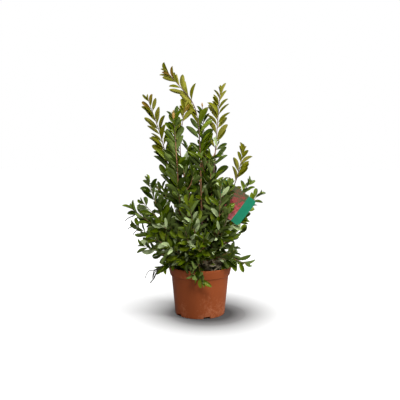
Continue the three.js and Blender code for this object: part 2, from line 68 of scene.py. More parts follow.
# faces from each ring of points to the next, turned over where the rings run the other way
def bridge(rings, flipped=False, closed=False):
    points, rows, faces = [], [], []
    for ring in rings:
        rows.append(range(len(points), len(points) + len(ring)))
        points += ring
    for low, high in zip(rows, rows[1:] + rows[:1] if closed else rows[1:]):
        count = max(len(low), len(high))
        for i in range(count):
            j = (i + 1) % count
            corners = [row[k % len(row)] for row, k in ((low, i), (low, j), (high, j), (high, i))]
            face = list(dict.fromkeys(corners))  # a pole counts once
            faces.append([face[0], *face[:0:-1]] if flipped else face)
    return points, faces


def setMap(mesh, name, places):
    layer = mesh.uv_layers.new(name=name)
    for loop in mesh.loops:
        layer.data[loop.index].uv = places[loop.vertex_index]


def setAttribute(mesh, name, kind, values, domain="POINT"):
    field = "vector" if kind == "FLOAT_VECTOR" else "value"
    mesh.attributes.new(name, kind, domain).data.foreach_set(field, values)


def smoothByAngle(mesh, degrees):
    mesh.shade_smooth()
    mesh.set_sharp_from_angle(angle=math.radians(degrees))


def addPiece(name, mesh, replaced=(), material=None):
    piece = bpy.data.objects.new(name, mesh)
    mesh.name = name
    scene.collection.objects.link(piece)
    if material:
        mesh.materials.clear()
        mesh.materials.append(material)
    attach(piece, "root")
    if replaced:
        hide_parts(*replaced)
    print("made", name, len(mesh.polygons), "faces")


# node helpers: the short ones hand back the socket that they end in

def addNode(tree, kind, inputs={}, **settings):
    node = tree.nodes.new(kind)
    for key, value in settings.items():
        setattr(node, key, value)
    for key, value in inputs.items():
        if isinstance(value, bpy.types.NodeSocket):
            tree.links.new(value, node.inputs[key])
        else:
            node.inputs[key].default_value = value
    return node


def calc(tree, operation, *values):
    return addNode(tree, "ShaderNodeMath", dict(enumerate(values)), operation=operation).outputs[0]


def remap(tree, value, low=0.0, high=1.0, toLow=0.0, toHigh=1.0):
    return addNode(tree, "ShaderNodeMapRange", {
        "Value": value, "From Min": low, "From Max": high, "To Min": toLow, "To Max": toHigh}).outputs[0]


def noise(tree, place, scale, detail, roughness=0.5, distortion=0.0):
    return addNode(tree, "ShaderNodeTexNoise", {
        "Vector": place, "Scale": scale, "Detail": detail, "Roughness": roughness,
        "Distortion": distortion}).outputs["Fac"]


def blend(tree, share, tone, otherTone):
    return addNode(tree, "ShaderNodeMix", {
        "Factor": share, 6: tone, 7: otherTone}, data_type="RGBA").outputs[2]


def stretched(tree, place, factors):
    return addNode(tree, "ShaderNodeVectorMath", {0: place, 1: factors}, operation="MULTIPLY").outputs[0]


def objectPlace(tree):
    return addNode(tree, "ShaderNodeTexCoord").outputs["Object"]


def splitVector(tree, vector):
    return addNode(tree, "ShaderNodeSeparateXYZ", {"Vector": vector}).outputs


def readAttribute(tree, name, kind):
    return addNode(tree, "GeometryNodeInputNamedAttribute", {"Name": name}, data_type=kind).outputs[0]


# a geometry tree, the identifiers of its named inputs and the sockets that they come out of
def newTree(name, sockets):
    tree = bpy.data.node_groups.new(name, "GeometryNodeTree")
    ids = {}
    for label, kind in {"Geometry": "Geometry", **sockets}.items():
        socket = tree.interface.new_socket(label, in_out="INPUT", socket_type="NodeSocket" + kind)
        ids[label] = socket.identifier
    tree.interface.new_socket("Geometry", in_out="OUTPUT", socket_type="NodeSocketGeometry")
    return tree, ids, tree.nodes.new("NodeGroupInput").outputs


# every tree ends in one real mesh with its material, and with another one where it is marked
def endTree(tree, geometry, material, marked=None, markedMaterial=None):
    made = addNode(tree, "GeometryNodeRealizeInstances", {"Geometry": geometry})
    made = addNode(tree, "GeometryNodeSetMaterial", {"Geometry": made.outputs[0], "Material": material})
    if marked is not None:
        made = addNode(tree, "GeometryNodeSetMaterial", {
            "Geometry": made.outputs[0], "Selection": marked, "Material": markedMaterial})
    tree.links.new(made.outputs[0], tree.nodes.new("NodeGroupOutput").inputs[0])


# runs a node tree on a carrier mesh and hands back the plain mesh it makes
def runTree(carrier, tree, ids, values):
    holder = bpy.data.objects.new(tree.name, carrier)
    scene.collection.objects.link(holder)
    modifier = holder.modifiers.new(tree.name, "NODES")
    modifier.node_group = tree
    for label, value in values.items():
        modifier[ids[label]] = value
    depsgraph = bpy.context.evaluated_depsgraph_get()
    made = bpy.data.meshes.new_from_object(
        holder.evaluated_get(depsgraph), preserve_all_data_layers=True, depsgraph=depsgraph)
    bpy.data.objects.remove(holder)
    bpy.data.meshes.remove(carrier)
    if made.materials[0] is None:
        made.materials.pop(index=0)  # the carrier's empty slot
    return made


# shader groups that several finishes share

def newGroup(name, inputs, outputs):
    group = bpy.data.node_groups.new(name, "ShaderNodeTree")
    for way, sockets in (("INPUT", inputs), ("OUTPUT", outputs)):
        for label, kind in sockets.items():
            group.interface.new_socket(label, in_out=way, socket_type="NodeSocket" + kind)
    return group, group.nodes.new("NodeGroupInput").outputs, group.nodes.new("NodeGroupOutput").inputs


def useGroup(tree, group, inputs):
    return addNode(tree, "ShaderNodeGroup", inputs, node_tree=group).outputs


# two tones drifting into each other over the piece, with a mask for the roughness
def makeDriftGroup():
    group, start, end = newGroup(
        "tone drift",
        {"Tone": "Color", "Other Tone": "Color", "Scale": "Float", "Amount": "Float"},
        {"Color": "Color", "Mask": "Float"})
    clouds = noise(group, objectPlace(group), start["Scale"], detail=4.0, roughness=0.6)
    mask = remap(group, clouds, low=0.32, high=0.68)
    share = calc(group, "MULTIPLY", mask, start["Amount"])
    group.links.new(blend(group, share, start["Tone"], start["Other Tone"]), end["Color"])
    group.links.new(mask, end["Mask"])
    return group


# fine grain as a height for a bump
def makeGrainGroup():
    group, start, end = newGroup("fine grain", {"Scale": "Float", "Stretch": "Vector"}, {"Height": "Float"})
    place = stretched(group, objectPlace(group), start["Stretch"])
    group.links.new(noise(group, place, start["Scale"], detail=6.0, roughness=0.65), end["Height"])
    return group


driftGroup = makeDriftGroup()
grainGroup = makeGrainGroup()


def colour(*rgb):
    return (*rgb, 1.0)


def newMaterial(name, roughness, specular):
    material = bpy.data.materials.new(name)
    material.use_nodes = True
    shader = material.node_tree.nodes["Principled BSDF"]
    shader.inputs["Roughness"].default_value = roughness
    shader.inputs["Specular IOR Level"].default_value = specular
    return material, material.node_tree, shader


# lays two drifting tones over a piece, lets its roughness drift with them and hands back the colour
def addDrift(tree, shader, tones, scale, roughness, amount=1.0):
    drift = useGroup(tree, driftGroup, {
        "Tone": colour(*tones[0]), "Other Tone": colour(*tones[1]), "Scale": scale, "Amount": amount})
    tree.links.new(drift["Color"], shader.inputs["Base Color"])
    rough = remap(tree, drift["Mask"], toLow=roughness[0], toHigh=roughness[1])
    tree.links.new(rough, shader.inputs["Roughness"])
    return drift["Color"]


def addBump(tree, shader, height, strength, distance):
    bump = addNode(tree, "ShaderNodeBump", {"Height": height, "Strength": strength, "Distance": distance})
    tree.links.new(bump.outputs["Normal"], shader.inputs["Normal"])


def addGrain(tree, shader, scale, stretch, strength, distance):
    grain = useGroup(tree, grainGroup, {"Scale": scale, "Stretch": stretch})
    addBump(tree, shader, grain["Height"], strength, distance)


# pot: a tapered tub with a flared collar, turned in one piece, with drain notches cut round its foot

potPlan = dict(
    height=130, rim=85.5, lip=1.6, collar=80.6, collarZ=107, side=77, sideZ=103.5, base=67, foot=2.4,
    wall=2.2, floor=4, dish=1.2, dishEdge=(12, 9), segments=112, smooth=28, notches=5,
    notchTurn=70, notchSize=(20, 19, 12),
    tones=((0.207, 0.049, 0.014), (0.18, 0.041, 0.012)), toneScale=9.0, toneShare=0.5,
    roughness=(0.44, 0.58), scuffTone=(0.36, 0.14, 0.07), scuffRange=(0.34, 0.54), scuffShare=0.6,
    fleckScale=150.0, patchScale=16.0, lowScuffs=(0.06, 0.15),  # reach up from the foot, share there
)


def potProfile():
    p = SimpleNamespace(**potPlan)
    profile = [(0, p.dish), (p.base - p.dishEdge[0], p.dish), (p.base - p.dishEdge[1], 0),
               (p.base - p.foot, 0)]
    profile += [(p.base - p.foot + p.foot * math.sin(a), p.foot - p.foot * math.cos(a))
                for a in (0.5, 1.0, 1.45)]
    rise = (0.04, 0.2, 0.4, 0.6, 0.8, 0.985)
    profile += [(lerp(p.base, p.side, t), lerp(p.foot, p.sideZ, t)) for t in rise]
    profile += [(p.side + 0.5, p.sideZ), (p.collar - 0.8, p.collarZ - 0.9), (p.collar, p.collarZ - 0.1)]
    low, high = (p.collar + 0.25, p.collarZ + 0.9), (p.rim, p.height - p.lip)
    profile += [low] + [(lerp(low[0], high[0], t), lerp(low[1], high[1], t)) for t in (0.35, 0.7, 1)]
    profile += [(p.rim - p.lip + p.lip * math.cos(a), p.height - p.lip + p.lip * math.sin(a))
                for a in (0.45, 0.9, 1.35)]
    profile += [(p.rim - p.lip - 0.5, p.height), (p.rim - p.wall - 0.25, p.height - 0.5),
                (p.rim - p.wall - 0.5, p.height - 1.6), (p.collar - p.wall, p.collarZ + 3),
                (p.side - p.wall, p.sideZ + 2.4), (p.base - p.wall + 0.8, p.floor + 5),
                (p.base - p.wall - 2, p.floor), (0, p.floor)]  # down the inside
    return profile


def turnRound(tree, angle):
    return addNode(tree, "FunctionNodeAxisAngleToRotation", {"Axis": (0, 0, 1), "Angle": angle}).outputs[0]


# cuts a ring of boxes out of the pot's foot
def makeNotchTree():
    tree, ids, start = newTree("drain notches", {
        "Count": "Int", "Radius": "Float", "Turn": "Float", "Size": "Vector", "Material": "Material"})
    circle = addNode(tree, "GeometryNodeMeshCircle", {
        "Vertices": start["Count"], "Radius": start["Radius"]})
    cube = addNode(tree, "GeometryNodeMeshCube", {"Size": start["Size"]})
    index = addNode(tree, "GeometryNodeInputIndex").outputs[0]
    angle = calc(tree, "MULTIPLY", index, calc(tree, "DIVIDE", math.tau, start["Count"]))
    boxes = addNode(tree, "GeometryNodeInstanceOnPoints", {
        "Points": circle.outputs[0], "Instance": cube.outputs["Mesh"], "Rotation": turnRound(tree, angle)})
    ring = addNode(tree, "GeometryNodeTransform", {
        "Geometry": boxes.outputs[0], "Rotation": turnRound(tree, start["Turn"])})
    solid = addNode(tree, "GeometryNodeRealizeInstances", {"Geometry": ring.outputs[0]})
    cut = addNode(tree, "GeometryNodeMeshBoolean", {
        "Mesh 1": start["Geometry"], "Mesh 2": solid.outputs[0]}, operation="DIFFERENCE", solver="EXACT")
    endTree(tree, cut.outputs[0], start["Material"])
    return tree, ids


# scuffs come in patches, more of them near the foot
def makePotMaterial():
    p = SimpleNamespace(**potPlan)
    material, tree, shader = newMaterial("terracotta plastic", roughness=0.5, specular=0.06)
    tone = addDrift(tree, shader, p.tones, p.toneScale, p.roughness, p.toneShare)
    place = objectPlace(tree)
    patches = noise(tree, place, p.patchScale, detail=2.0)
    flecks = calc(tree, "MULTIPLY", noise(tree, place, p.fleckScale, detail=5.0, roughness=0.7), patches)
    low = remap(tree, splitVector(tree, place)["Z"], 0.0, p.lowScuffs[0], p.lowScuffs[1], 0.0)
    scuff = remap(tree, calc(tree, "ADD", flecks, low), *p.scuffRange, 0.0, p.scuffShare)
    tree.links.new(blend(tree, scuff, tone, colour(*p.scuffTone)), shader.inputs["Base Color"])
    addGrain(tree, shader, scale=420.0, stretch=(1, 1, 0.4), strength=0.1, distance=0.0004)
    return material


def makePot():
    p = SimpleNamespace(**potPlan)
    body = bridge([ringOf(radius, lambda a: z, p.segments) for radius, z in potProfile()])
    mesh = runTree(meshOf("pot body", *body), *makeNotchTree(), {
        "Count": p.notches, "Radius": p.base * mm, "Turn": math.radians(p.notchTurn),
        "Size": [side * mm for side in p.notchSize], "Material": makePotMaterial()})
    smoothByAngle(mesh, p.smooth)
    addPiece("plantPot", mesh, ["pot"])


makePot()


# soil: a lumpy filling with crumbs and bark chips scattered over it

soilPlan = dict(
    radius=79, level=117, mound=1.5, moundFall=0.7, lump=2.6, lumpShares=(0.6, 0.25), rimFade=(6, 0.35),
    rings=22, segments=84, bareRim=3,
    wall=((77.6, 110), (74, 105.6), (63.4, 4.4)),  # radius and height, going down
    earth=((0.028, 0.022, 0.014), (0.08, 0.062, 0.042)), earthScale=160.0,
    bark=((0.07, 0.042, 0.026), (0.17, 0.115, 0.08)), barkScale=220.0,
    # density, sizes, flatness, seed
    crumbs=(26000.0, (0.7, 2.3), 0.8, 7), chips=(2600.0, (1.6, 4.2), 0.35, 11),
)


def soilHeight(radius, angle):
    p = SimpleNamespace(**soilPlan)
    dome = p.mound * max(0.0, 1 - radius / p.radius) ** p.moundFall
    x, y = radius * math.cos(angle), radius * math.sin(angle)
    lumps = math.sin(0.31 * x + 1.7 * math.sin(0.12 * y)) * math.cos(0.27 * y + 1.1 * math.sin(0.17 * x))
    fine = math.sin(0.9 * x + 2.1) * math.sin(0.83 * y + 0.4)
    relief = p.lumpShares[0] * lumps + p.lumpShares[1] * fine
    return p.level + dome + p.lump * relief * min(1, (p.radius - radius) / p.rimFade[0] + p.rimFade[1])


def soilRing(radius):
    return ringOf(radius, lambda a: soilHeight(radius, a), soilPlan["segments"])


def makeSoilMesh():
    p = SimpleNamespace(**soilPlan)
    rings = [soilRing(p.radius * i / p.rings) for i in range(p.rings + 1)]
    rings += [ringOf(radius, lambda a: z, p.segments) for radius, z in p.wall]
    points, faces = bridge(rings, flipped=True)
    faces.append(range(len(points) - 1, len(points) - 1 - p.segments, -1))  # the flat underside
    mesh = meshOf("soil", points, faces)
    mesh.shade_smooth()
    return mesh


# the open top alone, which carries what is scattered
def soilTopOnly():
    p = SimpleNamespace(**soilPlan)
    rings = [soilRing((p.radius - p.bareRim) * (i + 0.3) / p.rings) for i in range(p.rings)]
    return meshOf("soil top", *bridge(rings, flipped=True))


# scatters rough little lumps over the carrier's faces
def makeCrumbTree():
    tree, ids, start = newTree("crumbs", {
        "Density": "Float", "Smallest": "Vector", "Largest": "Vector", "Seed": "Int",
        "Material": "Material"})
    points = addNode(tree, "GeometryNodeDistributePointsOnFaces", {
        "Mesh": start["Geometry"], "Density": start["Density"], "Seed": start["Seed"]})
    lump = addNode(tree, "GeometryNodeMeshIcoSphere", {"Radius": 1.0, "Subdivisions": 1})
    turn, size = [addNode(tree, "FunctionNodeRandomValue", {
        "Min": low, "Max": high, "Seed": start["Seed"]}, data_type="FLOAT_VECTOR").outputs[0]
        for low, high in (((0, 0, 0), (math.tau,) * 3), (start["Smallest"], start["Largest"]))]
    euler = addNode(tree, "FunctionNodeEulerToRotation", {"Euler": turn})
    lumps = addNode(tree, "GeometryNodeInstanceOnPoints", {
        "Points": points.outputs["Points"], "Instance": lump.outputs["Mesh"],
        "Rotation": euler.outputs[0], "Scale": size})
    endTree(tree, lumps.outputs[0], start["Material"])
    return tree, ids


def makeEarthMaterial(name, tones, scale):
    material, tree, shader = newMaterial(name, roughness=0.95, specular=0.2)
    addDrift(tree, shader, tones, scale, roughness=(0.85, 1.0))
    addGrain(tree, shader, scale=700.0, stretch=(1, 1, 1), strength=0.6, distance=0.001)
    return material


def scatter(name, density, sizes, flat, seed, material):
    smallest, largest = ([size * mm, size * mm * flat, size * mm] for size in sizes)
    mesh = runTree(soilTopOnly(), *crumbTree, {
        "Density": density, "Smallest": smallest, "Largest": largest, "Seed": seed, "Material": material})
    addPiece(name, mesh)


crumbTree = makeCrumbTree()
earthMaterial = makeEarthMaterial("damp compost", soilPlan["earth"], soilPlan["earthScale"])
chipMaterial = makeEarthMaterial("bark chips", soilPlan["bark"], soilPlan["barkScale"])
addPiece("soilFilling", makeSoilMesh(), ["soil"], earthMaterial)
scatter("soilCrumbs", *soilPlan["crumbs"], earthMaterial)
scatter("soilChips", *soilPlan["chips"], chipMaterial)


# the shrub's own rule: a short trunk, shoots that leave it, side twigs and leaves in a spiral

soilTop = Vector((0, 0, 118))  # shoots, leaves and label are planned from here up
trunkPlan = dict(
    height=60, footRadius=13, waistRadius=8, topRadius=5.5, lean=(3, -2), flareShare=0.25, steps=26,
    crowding=1.3)

leader = dict(
    rootRadius=2.9, tipRadius=0.85, bareShare=0.24, leafyFrom=0.02, leafyTo=1, leafLength=50,
    tipLeafLength=29, leafSpacing=7.8, spread=38, tipSpread=24, slim=0.28, twigs=3, twigLength=74,
    twigsTo=0.5, fineTwigs=4, fineLength=44, fineTo=0.42, innerTwigs=4, innerFrom=0.1, tipLeaves=4,
    tipLeafSize=20, openSide=0.55, shade=2.2)
oldLeader = dict(leader, leafLength=45, tipLeafLength=30, leafSpacing=6.2, spread=37, tipSpread=26,
                 slim=0.32, tipLeaves=2, tipLeafSize=15, openSide=0.7)
slimLeader = dict(oldLeader, leafyTo=0.93, leafLength=40, tipLeafLength=26, leafSpacing=8.4, twigs=2,
                  twigLength=60, tipLeaves=0)
slenderLeader = dict(leader, leafLength=44, leafSpacing=9.4, spread=31, slim=0.27, twigs=2, twigLength=58,
                     fineTwigs=3)
sideShoot = dict(
    rootRadius=1.9, tipRadius=0.65, bareShare=0, leafyFrom=0.27, leafyTo=1, leafLength=42, tipLeafLength=28,
    leafSpacing=6.8, spread=42, tipSpread=27, slim=0.28, twigs=2, twigLength=54, twigsTo=0.78, fineTwigs=3,
    fineLength=40, fineTo=0.7, innerTwigs=2, innerFrom=0.12, tipLeaves=2, tipLeafSize=17, openSide=1,
    shade=0.8)
airyShoot = dict(sideShoot, leafSpacing=8, spread=45, slim=0.34, twigs=1, twigLength=44, fineTwigs=2,
                 fineLength=34, tipLeafSize=20)
labelShoot = dict(airyShoot, leafSpacing=6.4, fineTwigs=4, fineTo=0.92)
slenderShoot = dict(airyShoot, leafLength=42, tipLeafLength=32, leafSpacing=8.4, fineTwigs=1,
                    tipLeafSize=24)
twigKind = dict(
    leafyTo=1, leafLength=37, tipLeafLength=26, leafSpacing=7.1, spread=39, tipSpread=27, slim=0.28,
    tipLeaves=2, tipLeafSize=16, openSide=1, shade=0.85)

# name, kind, foot on the trunk (degrees from +X, height), points it passes, tip,
# share above which it is young growth
shoots = [
    ("crown", leader, (286, 54),
     [(3, -16, 200), (0, -11, 325), (-5, -10, 395), (-18, -9, 443), (-66, -7, 503)], (-83, -6, 522), 0.68),
    ("front", oldLeader, (215, 52), [(-48, -35, 159), (-60, -45, 295)], (-67, -45, 404), 0.95),
    ("inner", leader, (172, 56), [(-30, -18, 190), (-52, -22, 325)], (-40, -20, 432), 0.74),
    ("east", leader, (350, 52), [(32, 0, 205), (43, 5, 345)], (53, 0, 473), 0.6),
    ("back_west", oldLeader, (122, 52), [(-28, 60, 190)], (-36, 74, 330), 0.86),
    ("west", leader, (155, 40), [(-66, 28, 186), (-103, 30, 348)], (-139, 25, 455), 0.64),
    ("middle", slimLeader, (60, 52), [(18, 14, 205), (11, 22, 370)], (6, 22, 441), 0.92),
    ("far_east", slenderLeader, (12, 40), [(59, 20, 147), (98, 14, 242)], (116, 4, 316), 0.6),
    ("back_east", oldLeader, (80, 40), [(18, 62, 190)], (28, 82, 308), 0.86),
    ("back", oldLeader, (103, 29), [(-16, 92, 130)], (-12, 122, 245), 0.86),
    ("west_high", airyShoot, (185, 29), [(-92, -18, 124)], (-136, -35, 240), 0.92),
    ("west_upper", airyShoot, (194, 24), [(-84, -28, 112)], (-146, -42, 182), 0.95),
    ("west_rear", sideShoot, (142, 29), [(-72, 66, 124)], (-108, 98, 215), 0.9),
    ("east_wide", airyShoot, (345, 29), [(78, 0, 128)], (156, 0, 200), 0.85),
    ("east_rear", sideShoot, (42, 29), [(74, 46, 126)], (138, 58, 232), 0.88),
    ("front_east", sideShoot, (308, 29), [(44, -62, 116)], (53, -84, 232), 0.9),
    ("front_middle", sideShoot, (256, 40), [(-13, -68, 108)], (-26, -102, 182), 0.9),
    ("front_near", sideShoot, (262, 29), [(-22, -74, 66)], (-36, -118, 118), 0.95),
    ("front_corner", airyShoot, (220, 29), [(-70, -44, 62)], (-128, -68, 100), 0.95),
    ("west_wide", airyShoot, (200, 19), [(-92, -30, 98)], (-177, -38, 168), 0.95),
    ("west_back", airyShoot, (168, 19), [(-100, 16, 64)], (-175, 26, 116), 0.95),
    ("east_back", airyShoot, (14, 19), [(61, 20, 69)], (112, 28, 100), 0.95),
    ("front_low", sideShoot, (284, 19), [(10, -70, 66)], (8, -116, 106), 0.95),
    ("east_front", airyShoot, (325, 19), [(46, -42, 64)], (80, -62, 104), 0.95),
    ("front_wide", airyShoot, (318, 12), [(56, -54, 47)], (86, -76, 63), 0.95),
    ("front_west", sideShoot, (234, 19), [(-46, -60, 50)], (-74, -100, 74), 0.95),
    ("back_wide", sideShoot, (84, 19), [(14, 84, 62)], (22, 148, 124), 0.92),
    ("back_low_west", sideShoot, (126, 19), [(-50, 64, 52)], (-98, 110, 92), 0.95),
    ("back_low_east", sideShoot, (50, 19), [(52, 60, 46)], (100, 104, 86), 0.95),
    ("west_low", airyShoot, (188, 9), [(-84, -14, 44)], (-146, -34, 68), 0.95),
    ("west_hanging", airyShoot, (216, 9), [(-74, -34, 29)], (-98, -44, 18), 0.95),
    ("front_hanging", airyShoot, (262, 9), [(-4, -82, 27)], (6, -110, -4), 0.95),
    ("east_low", slenderShoot, (335, 9), [(68, -34, 40)], (118, -48, 26), 0.95),
    ("front_label", airyShoot, (318, 38), [(48, -58, 94)], (74, -80, 158), 0.9),
    ("east_label", labelShoot, (336, 46), [(44, -40, 140)], (70, -46, 228), 0.9),
]

# how shoots leave the trunk, taper and turn from old to young
shootPlan = dict(emerge=9, emergeOut=0.6, taper=0.8, leafGap=0.02, overlap=0.012, turning=0.12)
# twigs, by shares of their own length and of the shoot's thickness, with the first number of each set
# and the throws kept for each twig
twigPlan = dict(
    sizes=(0.75, 1.1), middle=(0.42, 0.3), end=(0.6, 0.72), steps=16, leafyFrom=0.2, thick=0.62,
    fineThick=0.42, tipThick=0.8, youngFrom=0.94, ageing=(0.1, 0.35), firsts=(0, 20, 40), items=100)
# the leaves' spiral and the ranges that their throws fall in
leafPlan = dict(
    spiral=137.5, stray=30, tries=8, fewest=3, crowding=0.9, start=0.6, youth=8, roll=(46, 84),
    spreads=(0.75, 1.25), lengths=(0.78, 1.12), slims=(0.88, 1.14), forms=4, seat=0.5, stalk=7, girth=0.46)
# the closed tuft at a tip
tuftPlan = dict(
    firstItem=80, turn=60, lean=(0.16, 0.4), tuck=0.4, sizes=(0.7, 1.25), slim=0.3, sink=1.5,
    freshFrom=0.6)
# where one leaf tone gives way to the next
tonePlan = dict(
    youngLine=0.8, paleShare=0.3, lateFrom=0.8, bronzeShare=0.45, turningShare=0.5, sprayShare=0.4,
    deepTo=0.34, midTo=0.61, freshTo=0.76)

# gaps that stay free of leaves, as ranges of x, y and height over the soil
clearings = [
    ((-38, -22), (-90, 90), (386, 401)),  # between the front leader and the crown
    ((-45, -34), (-90, 90), (348, 373)),
    ((-28, -18), (-90, 90), (341, 365)),
    ((-53, -38), (-90, 90), (302, 330)),
    ((11, 26), (-90, 90), (365, 386)),  # round the east leader
    ((43, 52), (-90, 90), (396, 423)),
    ((26, 52), (-90, 90), (311, 337)),
    ((40, 70), (-90, 90), (268, 290)),
    ((70, 92), (-90, 90), (300, 400)),
    ((-14, 10), (-90, 90), (437, 490)),  # over the crown's bend
    ((-104, -89), (-90, 90), (203, 234)),  # left of the front leader
    ((-142, -112), (-90, 60), (160, 182)),
    ((-150, -134), (-90, 60), (92, 117)),
    ((-51, -36), (-90, 120), (238, 262)),  # narrow glints between the stems
    ((-35, -20), (-90, 120), (186, 216)),
    ((-81, -63), (-90, 120), (156, 188)),
    ((56, 71), (-115, 120), (54, 84)),
    ((-165, -106), (-90, 60), (8, 42)),  # under the lowest sprays at the left
    ((88, 114), (-40, 90), (228, 252)),  # round the label
    ((72, 97), (-115, -34), (116, 162)),
    ((88, 122), (-90, 120), (50, 102)),
    ((4, 56), (-112, -26), (0, 44)),  # where the compost shows at the rim
]


# the same throw for the same shoot and item every time, with a number for each purpose
def dice(shoot, item, purpose):
    wave = math.sin(shoot * 127.1 + item * 311.7 + purpose * 74.7) * 43758.5453
    return wave - math.floor(wave)


# a smooth path through its corners, read by share of its length
class StemPath:
    def __init__(self, corners, steps=48):
        p = np.array([tuple(c) for c in corners], float)
        p = np.vstack([2 * p[0] - p[1], p, 2 * p[-1] - p[-2]])
        t = np.linspace(0, 1, steps, endpoint=False)[:, None]
        made = []
        for a, b, c, d in zip(p, p[1:], p[2:], p[3:]):
            da, db, dc = (math.sqrt(np.linalg.norm(v)) for v in (b - a, c - b, d - c))
            m = ((b - a) / da - (c - a) / (da + db) + (c - b) / db) * db
            n = ((c - b) / db - (d - b) / (db + dc) + (d - c) / dc) * db
            made.append(b + m * t + (3 * (c - b) - 2 * m - n) * t ** 2 + (2 * (b - c) + m + n) * t ** 3)
        self.points = np.vstack(made + [p[-2:-1]])
        self.runs = np.concatenate([[0], np.cumsum(np.linalg.norm(np.diff(self.points, axis=0), axis=1))])
        self.length = self.runs[-1]

    def at(self, share):
        run = share * self.length
        return Vector([np.interp(run, self.runs, self.points[:, k]) for k in range(3)])

    def heading(self, share, reach=0.012):
        return (self.at(min(1, share + reach)) - self.at(max(0, share - reach))).normalized()


def trunkRadius(share):
    t = SimpleNamespace(**trunkPlan)
    flare = max(0, 1 - share / t.flareShare) ** 2
    return lerp(t.waistRadius, t.topRadius, share) + flare * (t.footRadius - t.waistRadius)


def trunkPoint(share):
    return Vector([reach * share for reach in (*trunkPlan["lean"], trunkPlan["height"])])


def stemPath(foot, via, tip):
    angle, height = math.radians(foot[0]), foot[1]
    share = height / trunkPlan["height"]
    start, emerge = trunkPoint(share), shootPlan["emerge"]
    out = Vector((math.cos(angle), math.sin(angle), 0))
    ahead = (Vector(via[0]) - start).normalized()
    turned = start + out * (trunkRadius(share) + emerge * shootPlan["emergeOut"]) + ahead * emerge
    return StemPath([start, turned, *via, tip])


def pathOf(name):
    return stemPath(*next(shoot[2:5] for shoot in shoots if shoot[0] == name))


def aroundTwig(ahead, angle):
    reference = Vector((0, -1, 0)) if abs(ahead.z) > 0.9 else Vector((0, 0, 1))
    across = ahead.cross(reference).normalized()
    over = across.cross(ahead)
    return over * math.cos(angle) + across * math.sin(angle)


# side twigs leave the stem in a spiral and curve up towards the light
def twigPath(path, number, index, count, length, low, high, item):
    share = lerp(low, high, (index + 0.5) / count)
    start, ahead = path.at(share), path.heading(share)
    out = aroundTwig(ahead, math.radians(index * leafPlan["spiral"] + 360 * dice(number, item, 1)))
    size = length * lerp(*twigPlan["sizes"], dice(number, item, 2))
    corners = [start + out * aside * size + ahead * along * size
               for aside, along in (twigPlan["middle"], twigPlan["end"])]
    return StemPath([start, *corners], twigPlan["steps"]), share


# leaf blades already set, kept in a coarse grid so that a new one can look for room

bladeGrid = {}
cell = 30  # edge of a cell of the grid
nextCells = [(i, j, k) for i in (-1, 0, 1) for j in (-1, 0, 1) for k in (-1, 0, 1)]


def onBlade(pose, share):
    return pose["root"] + pose["along"] * pose["length"] * share


def bladeTree(pose):
    side = pose["along"].cross(pose["face"])
    wide = side * pose["length"] * pose["slim"] * leafPlan["girth"]
    root, middle = pose["root"] + pose["along"] * leafPlan["stalk"], onBlade(pose, 0.5)
    return BVHTree.FromPolygons([root, middle + wide, onBlade(pose, 1), middle - wide], [(0, 1, 2, 3)])


def cellsOf(pose):
    spots = [onBlade(pose, share) for share in (0.1, 0.35, 0.6, 0.85, 1.0)]
    return {tuple(int(math.floor(c / cell)) for c in spot) for spot in spots}


def hasRoom(pose, tree):
    near = {(x + i, y + j, z + k) for x, y, z in cellsOf(pose) for i, j, k in nextCells}
    others = dict(blade for key in near for blade in bladeGrid.get(key, ()))
    return not any(tree.overlap(other) for other in others.values())


def keepBlade(pose, tree, number):
    for key in cellsOf(pose):
        bladeGrid.setdefault(key, []).append((number, tree))


def inClearing(pose):
    spots = [onBlade(pose, share) for share in (0.35, 0.6, 0.85)]
    return any(all(low < c < high for c, (low, high) in zip(spot, gap))
               for gap in clearings for spot in spots)


# solid things that leaves keep out of, in the shrub's own frame
def nodeTree(name):
    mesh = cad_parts[name].data
    points = [(v.co / mm) - soilTop for v in mesh.vertices]
    return BVHTree.FromPolygons(points, [tuple(p.vertices) for p in mesh.polygons])


solidTrees = [nodeTree(name) for name in ("pot", "soil", "label")]

leafTones = ("deepGreen", "midGreen", "freshGreen", "greyGreen", "limeGreen", "bronzeTip")
leaves = {tone: [] for tone in leafTones}
stems = []  # leafy stems and twigs: path, first share, radius along it, young share
boughs = []  # bare wood under the leaders: path, first and last share, radius along it
buds = []  # name, place, heading
leafCount = 0


def leafPose(path, kind, share, angle, number, item, radius):
    p = SimpleNamespace(**leafPlan)
    age = 1 - share ** p.youth
    ahead = path.heading(share)
    out = aroundTwig(ahead, angle)
    spread = lerp(kind["tipSpread"], kind["spread"], age) * lerp(*p.spreads, dice(number, item, 3))
    spread = math.radians(spread)
    along = ahead * math.cos(spread) + out * math.sin(spread)
    face = ahead * math.sin(spread) - out * math.cos(spread)
    roll = lerp(*p.roll, dice(number, item, 4)) * (-1 if dice(number, item, 7) < 0.5 else 1)
    face = Quaternion(along, math.radians(roll)) @ face
    length = lerp(kind["tipLeafLength"], kind["leafLength"], age) * lerp(*p.lengths, dice(number, item, 5))
    return dict(root=path.at(share) + along * radius * p.seat, along=along, face=face, length=length,
                form=int(dice(number, item, 8) * p.forms),
                slim=kind["slim"] * lerp(*p.slims, dice(number, item, 9)))


